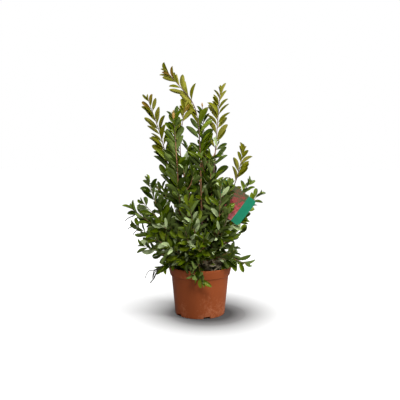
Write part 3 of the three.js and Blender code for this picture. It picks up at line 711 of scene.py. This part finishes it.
# young growth is lime with bronze tips, and old leaves lean towards the tone of their spray
def toneOf(number, item, spray, share, youngFrom, shade):
    t = SimpleNamespace(**tonePlan)
    throw = dice(number, item, 11)
    if share > youngFrom > t.youngLine:
        return "freshGreen" if throw < t.paleShare else "midGreen"
    if share > youngFrom:
        late = (share - youngFrom) / max(0.01, 1 - youngFrom)
        return "bronzeTip" if late > t.lateFrom and throw < t.bronzeShare else "limeGreen"
    if t.youngLine > youngFrom > share > youngFrom - shootPlan["turning"] and throw < t.turningShare:
        return "freshGreen"
    base = (spray if throw < t.sprayShare else dice(number, item, 12)) ** shade
    if base < t.deepTo:
        return "deepGreen"
    if base < t.midTo:
        return "midGreen"
    # the palest leaves are partly their own grey-green and partly a painted sheen that stands in for
    # reflected light
    return "freshGreen" if base < t.freshTo else "greyGreen"


# a leaf that finds no room at its place in the spiral tries others round the stem
def setLeaf(path, kind, share, number, item, radius, tone):
    global leafCount
    base = item * leafPlan["spiral"] + leafPlan["stray"] * (dice(number, item, 6) - 0.5)
    for turn in range(leafPlan["tries"]):
        angle = math.radians(base + turn * 360 / leafPlan["tries"])
        if abs(aroundTwig(path.heading(share), angle).y) > kind["openSide"]:
            continue  # a leader's stem shows between its rows
        pose = leafPose(path, kind, share, angle, number, item, radius)
        tree = bladeTree(pose)
        if inClearing(pose) or any(tree.overlap(solid) for solid in solidTrees) or not hasRoom(pose, tree):
            continue
        leafCount += 1
        keepBlade(pose, tree, leafCount)
        leaves[tone].append(pose)
        return


# small leaves that close round the tip
def setTuft(tip, ahead, kind, number, firstItem, tones):
    p = SimpleNamespace(**tuftPlan)
    for i in range(kind["tipLeaves"]):
        item = firstItem + i
        out = aroundTwig(ahead, math.radians(i * 360 / kind["tipLeaves"] + p.turn * dice(number, item, 1)))
        along = (ahead + out * lerp(*p.lean, dice(number, item, 2))).normalized()
        face = (ahead - along * ahead.dot(along) - out * p.tuck).normalized()
        face = (face - along * face.dot(along)).normalized()
        leaves[tones[i % 2]].append(dict(
            root=tip - ahead * p.sink, along=along, face=face, form=0, slim=p.slim,
            length=kind["tipLeafSize"] * lerp(*p.sizes, dice(number, item, 3))))


def setLeaves(name, path, kind, number, firstItem, leafyFrom, radiusAt, youngFrom, ageAt):
    run = path.length * (kind["leafyTo"] - leafyFrom)
    count = max(leafPlan["fewest"], round(run / kind["leafSpacing"]))
    spray = dice(number, firstItem, 10)
    for i in range(count):
        item = firstItem + i
        share = lerp(leafyFrom, kind["leafyTo"], ((i + leafPlan["start"]) / count) ** leafPlan["crowding"])
        tone = toneOf(number, item, spray, ageAt(share), youngFrom, kind["shade"])
        setLeaf(path, kind, share, number, item, radiusAt(share), tone)
    tip, ahead = path.at(1), path.heading(1)
    tones = ("freshGreen",) * 2 if spray > tuftPlan["freshFrom"] else ("midGreen",) * 2
    if youngFrom < tonePlan["youngLine"]:
        tones = ("limeGreen", "bronzeTip")
    setTuft(tip, ahead, kind, number, firstItem + tuftPlan["firstItem"], tones)
    buds.append((name, tip, ahead))


def growShoots():
    t, (behind, ahead) = SimpleNamespace(**twigPlan), twigPlan["ageing"]
    for number, (name, kind, foot, via, tip, youngFrom) in enumerate(shoots, 1):
        path, k = stemPath(foot, via, tip), SimpleNamespace(**kind)
        leafyFrom = max(k.bareShare, k.leafyFrom) + shootPlan["leafGap"]
        stemAt = lambda share, k=k: lerp(k.rootRadius, k.tipRadius, share ** shootPlan["taper"])
        if k.bareShare:
            boughs.append((path, 0, k.bareShare, stemAt))
        stems.append((path, max(0, k.bareShare - shootPlan["overlap"]), stemAt, youngFrom))
        setLeaves(name, path, kind, number, 0, leafyFrom, stemAt, youngFrom, lambda share: share)
        sets = ((k.twigs, k.twigLength, leafyFrom, k.twigsTo, t.thick),
                (k.fineTwigs, k.fineLength, leafyFrom, k.fineTo, t.fineThick),
                (k.innerTwigs, k.fineLength, k.innerFrom, leafyFrom, t.fineThick))
        for offset, (count, length, low, high, thick) in zip(t.firsts, sets):
            for index in range(count):
                twig, start = twigPath(path, number, index, count, length, low, high, offset + index)
                ends = (thick * k.rootRadius, t.tipThick * k.tipRadius)
                twigAt = lambda share, ends=ends: lerp(*ends, share)
                stems.append((twig, 0, twigAt, 2))  # a twig has no young end
                setLeaves(name + " twig", twig, twigKind, number, t.items * (offset + index + 1),
                          t.leafyFrom, twigAt, t.youngFrom,
                          lambda share: (share - behind) * (start + ahead))
    print("grown", len(shoots), "shoots,", len(stems), "stems and", leafCount, "leaves")


growShoots()
for tone in leafTones:
    print(tone, len(leaves[tone]), "leaves")


# wood and stems: tubes along the paths, swollen and furrowed by the bark's relief

barkPlan = dict(
    stretch=(1, 1, 0.35),  # furrows run along the wood
    wood=dict(sides=14, relief=0.55, scale=190.0, spacing=4),
    stem=dict(sides=7, relief=0.14, scale=420.0, spacing=7),
    # two tones, roughness, scale of the drift
    ridged=(((0.11, 0.062, 0.04), (0.2, 0.13, 0.095)), 0.85, 240.0),
    reddish=(((0.2, 0.085, 0.03), (0.3, 0.16, 0.075)), 0.6, 130.0),
    young=(((0.085, 0.042, 0.032), (0.17, 0.1, 0.075)), 0.5, 130.0),
)


def makeLimbTree():
    tree, ids, start = newTree("limbs", {
        "Sides": "Int", "Relief": "Float", "Relief Scale": "Float", "Material": "Material"})
    curve = addNode(tree, "GeometryNodeMeshToCurve", {"Mesh": start["Geometry"]})
    ring = addNode(tree, "GeometryNodeCurvePrimitiveCircle", {"Resolution": start["Sides"], "Radius": 1.0})
    tube = addNode(tree, "GeometryNodeCurveToMesh", {
        "Curve": curve.outputs[0], "Profile Curve": ring.outputs["Curve"],
        "Scale": readAttribute(tree, "thick", "FLOAT"), "Fill Caps": True})
    place = stretched(tree, addNode(tree, "GeometryNodeInputPosition").outputs[0], barkPlan["stretch"])
    furrows = calc(tree, "SUBTRACT", noise(tree, place, start["Relief Scale"], detail=3.0), 0.5)
    push = addNode(tree, "ShaderNodeVectorMath", {
        0: addNode(tree, "GeometryNodeInputNormal").outputs[0],
        "Scale": calc(tree, "MULTIPLY", furrows, start["Relief"])}, operation="SCALE")
    rough = addNode(tree, "GeometryNodeSetPosition", {
        "Geometry": tube.outputs[0], "Offset": push.outputs[0]})
    smooth = addNode(tree, "GeometryNodeSetShadeSmooth", {"Geometry": rough.outputs[0]})
    endTree(tree, smooth.outputs[0], start["Material"])
    return tree, ids


def limbCarrier(limbs):
    points, edges, thick = [], [], []
    for centres, radii in limbs:
        first = len(points)
        points += [(c + soilTop) * mm for c in centres]
        thick += [r * mm for r in radii]
        edges += [(first + i, first + i + 1) for i in range(len(centres) - 1)]
    mesh = meshOf("limb lines", points, [], edges)
    setAttribute(mesh, "thick", "FLOAT", thick)
    return mesh


def limbAlong(path, low, high, radiusAt, spacing):
    steps = max(4, round(path.length * (high - low) / spacing))
    shares = [lerp(low, high, i / steps) for i in range(steps + 1)]
    return [path.at(s) for s in shares], [radiusAt(s) for s in shares]


def trunkLine():
    steps = trunkPlan["steps"]
    shares = [(i / steps) ** trunkPlan["crowding"] for i in range(steps + 1)]  # closer together at the flare
    return [trunkPoint(s) for s in shares], [trunkRadius(s) for s in shares]


def makeBarkMaterial(name, tones, roughness, scale):
    material, tree, shader = newMaterial(name, roughness, specular=0.35)
    addDrift(tree, shader, tones, scale, (roughness - 0.1, roughness + 0.1))
    addGrain(tree, shader, scale=900.0, stretch=(1, 1, 0.25), strength=0.5, distance=0.0006)
    return material


def makeLimbs(name, limbs, form, material, replaced=()):
    bark = barkPlan[form]
    mesh = runTree(limbCarrier(limbs), *limbTree, {
        "Sides": bark["sides"], "Relief": bark["relief"] * mm, "Relief Scale": bark["scale"],
        "Material": material})
    addPiece(name, mesh, replaced)


def nodesOf(*starts):
    return [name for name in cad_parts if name.startswith(starts)]


def makeWoodAndStems():
    wood = [trunkLine()] + [limbAlong(*bough, barkPlan["wood"]["spacing"]) for bough in boughs]
    oldStems, youngStems, spacing = [], [], barkPlan["stem"]["spacing"]
    for path, low, radiusAt, youngFrom in stems:
        middle = min(1, max(low, youngFrom - shootPlan["turning"]))
        if middle > low:
            oldStems.append(limbAlong(path, low, middle, radiusAt, spacing))
        if middle < 1:
            youngStems.append(limbAlong(path, middle, 1, radiusAt, spacing))
    makeLimbs("trunkAndBoughs", wood, "wood", makeBarkMaterial("ridged bark", *barkPlan["ridged"]),
              nodesOf("trunk", "bough_"))
    makeLimbs("leafyStems", oldStems, "stem", makeBarkMaterial("reddish stem", *barkPlan["reddish"]),
              nodesOf("foliage_"))
    makeLimbs("youngStems", youngStems, "stem", makeBarkMaterial("young stem", *barkPlan["young"]))


limbTree = makeLimbTree()
makeWoodAndStems()


# leaves: a few blade forms, each a thin closed shell folded at its midrib, set on the planned places

bladePlan = dict(
    stations=(0, 0.07, 0.17, 0.33, 0.52, 0.71, 0.86, 0.95, 1),
    widths=(0.06, 0.09, 0.38, 0.79, 1, 0.97, 0.73, 0.43, 0), thickness=0.009, keel=1.6,
    # bend, fold and twist
    forms=((0.05, 0.2, 0.0), (0.13, 0.16, 0.25), (-0.06, 0.26, -0.2), (0.2, 0.22, 0.1)),
)


def bladeForm(name, bend, fold, twist):
    points, places, rows, faces, under, rim = [], [], [], [], [], set()
    for t, w in zip(bladePlan["stations"], bladePlan["widths"]):
        half, turn = 0.5 * w, twist * t
        lift = fold * half * bladePlan["keel"]
        thick = bladePlan["thickness"] * (0.5 + 0.5 * min(1, 4 * (1 - t)))  # thinner towards the tip
        spots = [(-half, lift), (0, 0), (half, lift), (0, -thick)] if w else [(0, 0)]
        rows.append(range(len(points), len(points) + len(spots)))
        points += [(x * math.cos(turn) - z * math.sin(turn), t,
                    x * math.sin(turn) + z * math.cos(turn) - bend * t * t) for x, z in spots]
        places += [(0.5 + x, t) for x, z in spots]
    for a, b in zip(rows, rows[1:]):
        b = b if len(b) == 4 else [b[0]] * 4  # the tip is one point
        for corners, below in (((a[0], a[1], b[1], b[0]), False), ((a[1], a[2], b[2], b[1]), False),
                               ((a[0], b[0], b[3], a[3]), True), ((a[3], b[3], b[2], a[2]), True)):
            faces.append(tuple(dict.fromkeys(corners)))
            under.append(below)
        rim |= {frozenset((a[0], b[0])), frozenset((a[2], b[2]))}
    faces.append((0, 3, 2, 1))  # closes the stalk's end
    under.append(True)
    mesh = meshOf(name, points, faces)
    mesh.shade_smooth()
    setMap(mesh, "blade", places)
    setAttribute(mesh, "underside", "BOOLEAN", under, "FACE")
    for edge in mesh.edges:
        edge.use_edge_sharp = frozenset(edge.vertices) in rim
    return bpy.data.objects.new(name, mesh)


def bladeForms(forms):
    return [bladeForm(f"blade form {i}", *form) for i, form in enumerate(forms)]


def makeLeafTree():
    tree, ids, start = newTree("leaves on places", {
        "Forms": "Collection", "Face Material": "Material", "Underside Material": "Material"})
    forms = addNode(tree, "GeometryNodeCollectionInfo", {
        "Collection": start["Forms"], "Separate Children": True, "Reset Children": True})
    blades = addNode(tree, "GeometryNodeInstanceOnPoints", {
        "Points": start["Geometry"], "Instance": forms.outputs[0], "Pick Instance": True,
        "Instance Index": readAttribute(tree, "form", "INT"),
        "Rotation": readAttribute(tree, "turn", "QUATERNION"),
        "Scale": readAttribute(tree, "size", "FLOAT_VECTOR")})
    endTree(tree, blades.outputs[0], start["Face Material"],
            readAttribute(tree, "underside", "BOOLEAN"), start["Underside Material"])
    return tree, ids


def leafCarrier(poses):
    points, turns, sizes = [], [], []
    for pose in poses:
        along, face, length = pose["along"], pose["face"], pose["length"]
        points.append((pose["root"] + soilTop) * mm)
        turns += list(Matrix((along.cross(face).normalized(), along, face)).transposed().to_quaternion())
        sizes += [length * pose["slim"] * mm, length * mm, pose.get("deep", length) * mm]
    mesh = meshOf("leaf places", points, [])
    setAttribute(mesh, "turn", "QUATERNION", turns)
    setAttribute(mesh, "size", "FLOAT_VECTOR", sizes)
    setAttribute(mesh, "form", "INT", [pose["form"] for pose in poses])
    return mesh


veinPlan = dict(slant=-0.55, beat=95.0, shown=0.55, height=0.3)


# pale midrib and side veins, as masks read off the blade's own map
def makeVeinGroup():
    group, start, end = newGroup("leaf veins", {"Rib Width": "Float"}, {"Rib": "Float", "Veins": "Float"})
    parts = splitVector(group, addNode(group, "ShaderNodeUVMap", uv_map="blade").outputs[0])
    far = calc(group, "ABSOLUTE", calc(group, "SUBTRACT", parts["X"], 0.5))
    slanted = calc(group, "MULTIPLY_ADD", far, veinPlan["slant"], parts["Y"])
    wave = calc(group, "SINE", calc(group, "MULTIPLY", slanted, veinPlan["beat"]))
    group.links.new(remap(group, far, 0.0, start["Rib Width"], 1.0, 0.0), end["Rib"])
    group.links.new(remap(group, wave, low=veinPlan["shown"]), end["Veins"])
    return group


def makeLeafMaterial(name, tones, ribTone, roughness, ribShare, specular, veinShare=0.0):
    material, tree, shader = newMaterial(name, roughness, specular)
    face = addDrift(tree, shader, tones, scale=42.0, roughness=(roughness - 0.06, roughness + 0.08))
    veins = useGroup(tree, veinGroup, {"Rib Width": 0.05})
    rib = calc(tree, "MULTIPLY", veins["Rib"], ribShare)
    share = calc(tree, "MULTIPLY_ADD", veins["Veins"], veinShare, rib)
    tree.links.new(blend(tree, share, face, colour(*ribTone)), shader.inputs["Base Color"])
    relief = calc(tree, "MULTIPLY_ADD", veins["Veins"], veinPlan["height"], veins["Rib"])
    addBump(tree, shader, relief, strength=0.25, distance=0.0003)
    shader.inputs["Specular Tint"].default_value = colour(0.95, 1, 0.5)
    return material


leafFinishes = dict(  # face and drift tones, rib tone, roughness
    deepGreen=(((0.0135, 0.028, 0.0002), (0.026, 0.048, 0.0005)), (0.06, 0.082, 0.004), 0.24),
    midGreen=(((0.055, 0.089, 0.0005), (0.079, 0.118, 0.001)), (0.13, 0.162, 0.01), 0.25),
    freshGreen=(((0.096, 0.138, 0.002), (0.14, 0.186, 0.008)), (0.215, 0.245, 0.04), 0.27),
    # pale grey-green: partly the leaves' own greyish tone, partly a painted sheen standing in for light
    # reflected off the leaves
    greyGreen=(((0.3, 0.38, 0.17), (0.39, 0.46, 0.24)), (0.44, 0.48, 0.28), 0.38),
    limeGreen=(((0.12, 0.125, 0.001), (0.155, 0.153, 0.004)), (0.235, 0.215, 0.035), 0.46),
    bronzeTip=(((0.175, 0.115, 0.006), (0.185, 0.098, 0.012)), (0.24, 0.14, 0.045), 0.48),
)
leafAges = dict(  # tones of the underside, gloss of the face, slot
    old=(((0.07, 0.105, 0.016), (0.115, 0.155, 0.04)), 0.22, "leaf"),
    young=(((0.19, 0.19, 0.016), (0.23, 0.21, 0.035)), 0.14, "young_leaf"),
)


def setForms(name, poses, forms, material, below):
    group = bpy.data.collections.new(name + " forms")
    for form in forms:
        group.objects.link(form)
    mesh = runTree(leafCarrier(poses), *leafTree, {
        "Forms": group, "Face Material": material, "Underside Material": below})
    addPiece(name, mesh)
    for form in forms:
        data = form.data
        bpy.data.objects.remove(form)
        bpy.data.meshes.remove(data)
    bpy.data.collections.remove(group)


def makeLeaves():
    below = {age: makeLeafMaterial(
        f"leaf underside {age}", tones, tones[1], roughness=0.66, ribShare=0.5, specular=0.12)
        for age, (tones, gloss, slot) in leafAges.items()}
    for tone, (tones, rib, roughness) in leafFinishes.items():
        age = "young" if tone in ("limeGreen", "bronzeTip") else "old"
        _, gloss, slot = leafAges[age]
        face = makeLeafMaterial(f"leaf {tone}", tones, rib, roughness, ribShare=0.55, specular=gloss)
        setForms("leaves" + tone[0].upper() + tone[1:], leaves[tone], bladeForms(bladePlan["forms"]), face,
                 below[age])


leafTree = makeLeafTree()
veinGroup = makeVeinGroup()
makeLeaves()


# dry leaves lie on the compost, most of them at the right and behind the stems

litterPlan = dict(
    count=190, seed=90, spread=64, inner=0.05, lifts=(1.5, 6), edge=70, rise=(-0.1, 0.3), roll=(-0.9, 0.9),
    heap=((2, 56), (-46, 16)), heapLifts=(2, 22), heapFall=1.3,  # every other leaf is heaped at the right
    lengths=(13, 24), slim=0.36, forms=((0.45, 0.5, 0.5), (-0.3, 0.7, -0.7), (0.25, 0.35, 1.1)),
    tones=((0.21, 0.175, 0.11), (0.33, 0.285, 0.19)), ribTone=(0.38, 0.33, 0.23),
)


def litterPoses():
    p, poses = SimpleNamespace(**litterPlan), []
    for i in range(p.count):
        throw = [dice(p.seed, i, purpose) for purpose in range(10)]
        angle, radius = math.tau * throw[1], p.spread * math.sqrt(lerp(p.inner, 1, throw[2]))
        x, y, lift = radius * math.cos(angle), radius * math.sin(angle), lerp(*p.lifts, throw[5])
        if i % 2 == 0:
            x, y = lerp(*p.heap[0], throw[3]), lerp(*p.heap[1], throw[4])
            lift = lerp(*p.heapLifts, throw[5] ** p.heapFall)
        root = Vector((x, y, soilHeight(math.hypot(x, y), math.atan2(y, x)) - soilTop.z + lift))
        heading = math.tau * throw[6]
        along = Vector((math.cos(heading), math.sin(heading), lerp(*p.rise, throw[7]))).normalized()
        side = along.cross(Vector((0, 0, 1))).normalized()
        face = Quaternion(along, lerp(*p.roll, throw[8])) @ side.cross(along)
        tip = root + along * p.lengths[1]
        if math.hypot(tip.x, tip.y) < p.edge:
            poses.append(dict(root=root, along=along, face=face, slim=p.slim, form=i % len(p.forms),
                              length=lerp(*p.lengths, throw[9])))
    return poses


dryMaterial = makeLeafMaterial(
    "dry leaf", litterPlan["tones"], litterPlan["ribTone"], roughness=0.8, ribShare=0.5, specular=0.15)
setForms("dryLitter", litterPoses(), bladeForms(litterPlan["forms"]), dryMaterial, dryMaterial)


# buds close the shoots' tips: plump and scaly on the front leader, slim elsewhere

budPlan = dict(
    profile=((0, 0), (0.3, 0.06), (0.46, 0.22), (0.5, 0.4), (0.42, 0.62), (0.24, 0.84), (0.1, 0.96),
             (0, 1)),
    segments=10, rib=0.08, twist=0.5, sink=0.25,
    plain=(6.5, 2.4), swelling=dict(front=(26, 9), middle=(13, 4.4)),  # length and width
    green=((0.16, 0.15, 0.03), (0.24, 0.15, 0.06)), greenRib=(0.3, 0.2, 0.1),
    cream=((0.48, 0.25, 0.05), (0.62, 0.42, 0.15)), creamRib=(0.12, 0.035, 0.015),
)


def budForm():
    n, rings = budPlan["segments"], []
    for radius, t in budPlan["profile"]:
        spots = [(math.tau * i / n + budPlan["twist"] * t, radius * (1 + budPlan["rib"] * (-1) ** i))
                 for i in range(n if radius else 1)]
        rings.append([(r * math.cos(a), t, r * math.sin(a)) for a, r in spots])
    points, faces = bridge(rings, flipped=True)
    mesh = meshOf("bud form", points, faces)
    mesh.shade_smooth()
    setMap(mesh, "blade", [(0.5 + x, y) for x, y, z in points])
    setAttribute(mesh, "underside", "BOOLEAN", [False] * len(faces), "FACE")
    return bpy.data.objects.new("bud form", mesh)


def budPose(tip, ahead, length, width):
    return dict(root=tip - ahead * budPlan["sink"] * length, along=ahead, face=aroundTwig(ahead, 0),
                length=length, slim=width / length, deep=width, form=0)


def makeBuds():
    p = SimpleNamespace(**budPlan)
    plain = [budPose(tip, ahead, *p.plain) for name, tip, ahead in buds if name not in p.swelling]
    swelling = [budPose(tip, ahead, *p.swelling[name]) for name, tip, ahead in buds if name in p.swelling]
    green = makeLeafMaterial("closed bud", p.green, p.greenRib, roughness=0.5, ribShare=0.2, specular=0.3)
    cream = makeLeafMaterial(
        "swelling bud", p.cream, p.creamRib, roughness=0.5, ribShare=0.3, specular=0.3, veinShare=0.85)
    setForms("tipBuds", plain, [budForm()], green, green)
    setForms("swellingBuds", swelling, [budForm()], cream, cream)


makeBuds()


# dry tendrils hang from three shoots at the left

tendrilPlan = dict(
    look=(((0.016, 0.016, 0.011), (0.045, 0.042, 0.03)), 0.8, 200.0), tipShare=0.6, spacing=3, steps=14,
    # share of the shoot where they hang, depth, lines of root thickness, then x and height
    shoots=dict(
        west_hanging=(0.99, -46, (
            (2.2, (-107, 12), (-115, -1), (-120.5, -13.5), (-131, -27)),
            (1.3, (-110, 12.5), (-122.8, 7), (-131.3, 6.4), (-139.8, -2.6), (-143.5, -13.5)),
            (1.7, (-109, 12.5), (-120, 5.5), (-122.8, -4), (-124, -11), (-122.8, -18.4)),
            (1.4, (-108, 11), (-117, 4), (-120.5, -3), (-121.5, -12)))),
        west_wide=(0.93, -38, (
            (1.8, (-176, 148.5), (-185, 145), (-192, 140.4), (-196, 135.6)),)),
        west_back=(0.95, 26, (
            (1.9, (-178, 108), (-186, 112), (-193, 110.4), (-199, 106)),
            (1.5, (-175, 101.6), (-181.6, 96), (-185, 89))))),
)


def makeTendrils():
    p, limbs = SimpleNamespace(**tendrilPlan), []
    for name, (share, depth, lines) in p.shoots.items():
        root = pathOf(name).at(share)
        for thick, *line in lines:
            path = StemPath([root, *[(x, depth, z) for x, z in line]], p.steps)
            limbs.append(limbAlong(path, 0, 1, lambda at: thick * lerp(1, p.tipShare, at), p.spacing))
    makeLimbs("dryTendrils", limbs, "stem", makeBarkMaterial("dry tendril", *p.look))


makeTendrils()


# label: a printed plastic card on a strap, looped round the east stem

labelPlan = dict(
    width=80, height=104, thickness=0.8, corner=8, strapWidth=7, strapLength=14, stem="east", onStem=222,
    turn=53, tilt=16, curl=1.6, strapCurl=0.8, loopInner=2.4, loopWall=0.9, loopWidth=8, loopEdge=0.25,
    columns=20, loopSteps=28, smooth=30, searchSteps=400,
    panelSpan=(0.235, 0.84), panelDrift=-0.3, printTop=0.12, loopPrint=(0.5, 0.95),  # on the print's map
    teal=((0.006, 0.165, 0.088), (0.012, 0.195, 0.108)),
    panel=((0.24, (0.075, 0.085, 0.04)), (0.36, (0.34, 0.04, 0.05)), (0.6, (0.52, 0.2, 0.19))),
)


# height and half width of each row, from the strap's end down to the card's lower edge
def labelRows():
    p = SimpleNamespace(**labelPlan)
    top, bottom, r = -p.strapLength, -p.strapLength - p.height, p.corner
    half, strap = p.width / 2, p.strapWidth / 2
    rows = [(0, strap - 1.5), (-0.8, strap - 0.3), (-2, strap), (-6, strap), (-10, strap),
            (top + 1.2, strap), (top + 0.4, strap + 0.8)]
    bow = [math.radians(a) for a in (0, 18, 36, 54, 72, 90)]
    rows += [(top - r + r * math.cos(a), half - r + r * math.sin(a)) for a in bow]
    rows += [(lerp(top - r, bottom + r, i / 10), half) for i in range(1, 10)]
    rows += [(bottom + r - r * math.sin(a), half - r + r * math.cos(a)) for a in bow]
    return rows


# each row is a flat ring, along the front of the card and back along its rear
def labelCard():
    p = SimpleNamespace(**labelPlan)
    n, rings, places = p.columns, [], []
    for y, half in labelRows():
        down = (y + p.strapLength) / p.height
        front = [(lerp(-half, half, i / n), 1) for i in range(n + 1)]
        ring = []
        for x, side in front + [(x, -1) for x, _ in front[::-1]]:
            bowed = p.curl * ((x / (p.width / 2)) ** 2 + p.strapCurl * min(0, down) ** 2)
            ring.append(Vector((x, y, bowed + side * p.thickness / 2)))
            places.append((x / p.width + 0.5, 1 + min(p.printTop, down)))
        rings.append(ring)
    points, faces = bridge(rings, flipped=True)
    for first, step in ((0, 1), (len(points) - 2 * (n + 1), -1)):  # the two ends
        faces += [[first + k for k in (i, i + 1, 2 * n - i, 2 * n + 1 - i)][::step] for i in range(n)]
    return points, places, faces


def loopBand(spot, axis):
    p = SimpleNamespace(**labelPlan)
    inner, outer, half, edge = p.loopInner, p.loopInner + p.loopWall, p.loopWidth / 2, p.loopEdge
    profile = [(inner, -half), (outer - edge, -half), (outer, -half + edge), (outer, half - edge),
               (outer - edge, half), (inner, half)]
    across = axis.orthogonal().normalized()
    over = axis.cross(across)
    rings = []
    for i in range(p.loopSteps):
        a = math.tau * i / p.loopSteps
        out = across * math.cos(a) + over * math.sin(a)
        rings.append([spot + out * r + axis * h for r, h in profile])
    return bridge(rings, flipped=True, closed=True)


# a green band over a mottled red panel
def makeLabelMaterial():
    material, tree, shader = newMaterial("printed card", roughness=0.35, specular=0.22)
    teal = addDrift(tree, shader, labelPlan["teal"], scale=22.0, roughness=(0.3, 0.42))
    uv = addNode(tree, "ShaderNodeUVMap", uv_map="print").outputs[0]
    parts = splitVector(tree, uv)
    mottle = noise(tree, uv, scale=10.0, detail=8.0, roughness=0.8, distortion=0.3)
    patches = calc(tree, "MULTIPLY_ADD", parts["X"], labelPlan["panelDrift"], mottle)
    ramp = addNode(tree, "ShaderNodeValToRGB", {"Fac": patches})
    stops = ramp.color_ramp.elements
    stops.new(0.5)
    for stop, (place, tone) in zip(stops, labelPlan["panel"]):
        stop.position, stop.color = place, colour(*tone)
    low, high = labelPlan["panelSpan"]
    inside = calc(tree, "MULTIPLY", calc(tree, "GREATER_THAN", parts["Y"], low),
                  calc(tree, "LESS_THAN", parts["Y"], high))
    tree.links.new(blend(tree, inside, teal, ramp.outputs["Color"]), shader.inputs["Base Color"])
    return material


def makeLabel():
    p = SimpleNamespace(**labelPlan)
    path = pathOf(p.stem)
    shares = [i / p.searchSteps for i in range(p.searchSteps + 1)]
    share = min(shares, key=lambda t: abs(path.at(t).z - p.onStem))
    spot, axis = path.at(share), path.heading(share)
    place = (Matrix.Translation(spot - Vector((0, p.loopInner + p.loopWall / 2, 0)))
             @ Matrix.Rotation(math.radians(90), 4, "X") @ Matrix.Rotation(math.radians(p.turn), 4, "Z")
             @ Matrix.Rotation(math.radians(-p.tilt), 4, "X"))
    points, places, faces = labelCard()
    band, bandFaces = loopBand(spot, axis)
    first = len(points)
    points = [place @ point for point in points] + band
    places += [p.loopPrint] * len(band)  # the loop is green all over
    faces += [[first + i for i in face] for face in bandFaces]
    mesh = meshOf("label", [(point + soilTop) * mm for point in points], faces)
    setMap(mesh, "print", places)
    smoothByAngle(mesh, p.smooth)
    addPiece("plantLabel", mesh, ["label"], makeLabelMaterial())


makeLabel()


# stage: white floor with a painted shadow round the pot and a painted glow further out, white world, soft
# light from above, a key from the right, lamps in front and behind

stagePlan = dict(
    camera=(0, -1.34, 0.4), tilt=4, lens=45, sensor=36, world=0.12, floorReach=40, floorTone=0.44,
    floorBounce=0.3,
    # a painted glow that only the camera sees: it lifts the far floor to an even white and, rising away from
    # the pot, shapes the painted shadow's fade
    floorGlow=dict(inner=0.1, outer=0.41, fade=0.67, strength=0.56),
    # painted shadow: where the floor's colour darkens round the pot, how far it reaches and how dark it gets
    floorShade=dict(middle=(0.021, -0.012, 0), inner=0.062, outer=0.28, fade=2.4, tone=0.08),
    sky=dict(aim=(0.14, 0.12, -1), spread=48, power=3.0),
    lamps=dict(
        key=dict(place=(1.7, -0.75, 1.0), aim=(0, 0, 0.25), size=0.7, power=45),
        front=dict(place=(0.1, -2.3, 1.9), aim=(0, 0, 0.3), size=0.7, power=52),
        back=dict(place=(-0.6, 2.4, 1.1), aim=(0, 0, 0.35), size=1.4, power=28)),
)


def addLight(name, kind, place, direction, **settings):
    data = bpy.data.lights.new(name, kind)
    for key, value in settings.items():
        setattr(data, key, value)
    lamp = bpy.data.objects.new(name, data)
    lamp.location = place
    lamp.rotation_euler = Vector(direction).to_track_quat("-Z", "Y").to_euler()
    scene.collection.objects.link(lamp)


# white to the camera, with a painted shadow round the pot and a painted glow further out, dimmer to
# everything else, so that the floor lights the pot softly from below
def makeFloor():
    reach, shade, glow = stagePlan["floorReach"], stagePlan["floorShade"], stagePlan["floorGlow"]
    corners = [(-reach, -reach, 0), (reach, -reach, 0), (reach, reach, 0), (-reach, reach, 0)]
    floor = bpy.data.objects.new("floor", meshOf("floor", corners, [(0, 1, 2, 3)]))
    scene.collection.objects.link(floor)
    material, tree, shader = newMaterial("white paper", roughness=0.95, specular=0.0)
    seen = addNode(tree, "ShaderNodeLightPath").outputs["Is Camera Ray"]
    away = addNode(tree, "ShaderNodeVectorMath", {
        0: objectPlace(tree), 1: shade["middle"]}, operation="DISTANCE").outputs["Value"]
    # painted shadow: the floor's colour turns softly darker under the crown
    under = calc(tree, "POWER", remap(tree, away, shade["inner"], shade["outer"], 1.0, 0.0), shade["fade"])
    paperWithPaintedShadow = remap(tree, under, toLow=stagePlan["floorTone"], toHigh=shade["tone"])
    tone = blend(tree, seen, colour(*[stagePlan["floorBounce"]] * 3), paperWithPaintedShadow)
    tree.links.new(tone, shader.inputs["Base Color"])
    # a painted glow, seen only by the camera, turns the sweep pure white away from the pot and shapes the
    # outer fade of the painted shadow
    rise = calc(tree, "POWER", remap(tree, away, glow["inner"], glow["outer"]), glow["fade"])
    lit = calc(tree, "MULTIPLY", calc(tree, "MULTIPLY", rise, glow["strength"]), seen)
    shader.inputs["Emission Color"].default_value = colour(1, 1, 1)
    tree.links.new(lit, shader.inputs["Emission Strength"])
    floor.data.materials.append(material)


def makeWorld():
    world = bpy.data.worlds.new("white room")
    scene.world = world
    world.use_nodes = True
    tree = world.node_tree
    light = tree.nodes["Background"]
    light.inputs["Strength"].default_value = stagePlan["world"]
    light.inputs["Color"].default_value = colour(1, 1, 1)
    white = addNode(tree, "ShaderNodeBackground", {"Color": colour(1, 1, 1), "Strength": 1.0})
    seen = addNode(tree, "ShaderNodeLightPath").outputs["Is Camera Ray"]
    mix = addNode(tree, "ShaderNodeMixShader", {0: seen, 1: light.outputs[0], 2: white.outputs[0]})
    tree.links.new(mix.outputs[0], tree.nodes["World Output"].inputs["Surface"])


def makeStage():
    sky = stagePlan["sky"]
    addLight("sky", "SUN", (0, 0, 3), sky["aim"], energy=sky["power"], angle=math.radians(sky["spread"]))
    for name, lamp in stagePlan["lamps"].items():
        addLight(name, "AREA", lamp["place"], Vector(lamp["aim"]) - Vector(lamp["place"]),
                 energy=lamp["power"], size=lamp["size"])
    makeFloor()
    makeWorld()
    camera = bpy.data.objects.new("camera", bpy.data.cameras.new("camera"))
    camera.data.lens = stagePlan["lens"]
    camera.data.sensor_width = stagePlan["sensor"]
    camera.location = stagePlan["camera"]
    camera.rotation_euler = (math.radians(90 - stagePlan["tilt"]), 0, 0)
    scene.collection.objects.link(camera)
    scene.camera = camera
    scene.view_settings.view_transform = "Standard"
    print("set the stage with", len(stagePlan["lamps"]) + 1, "lights")


makeStage()
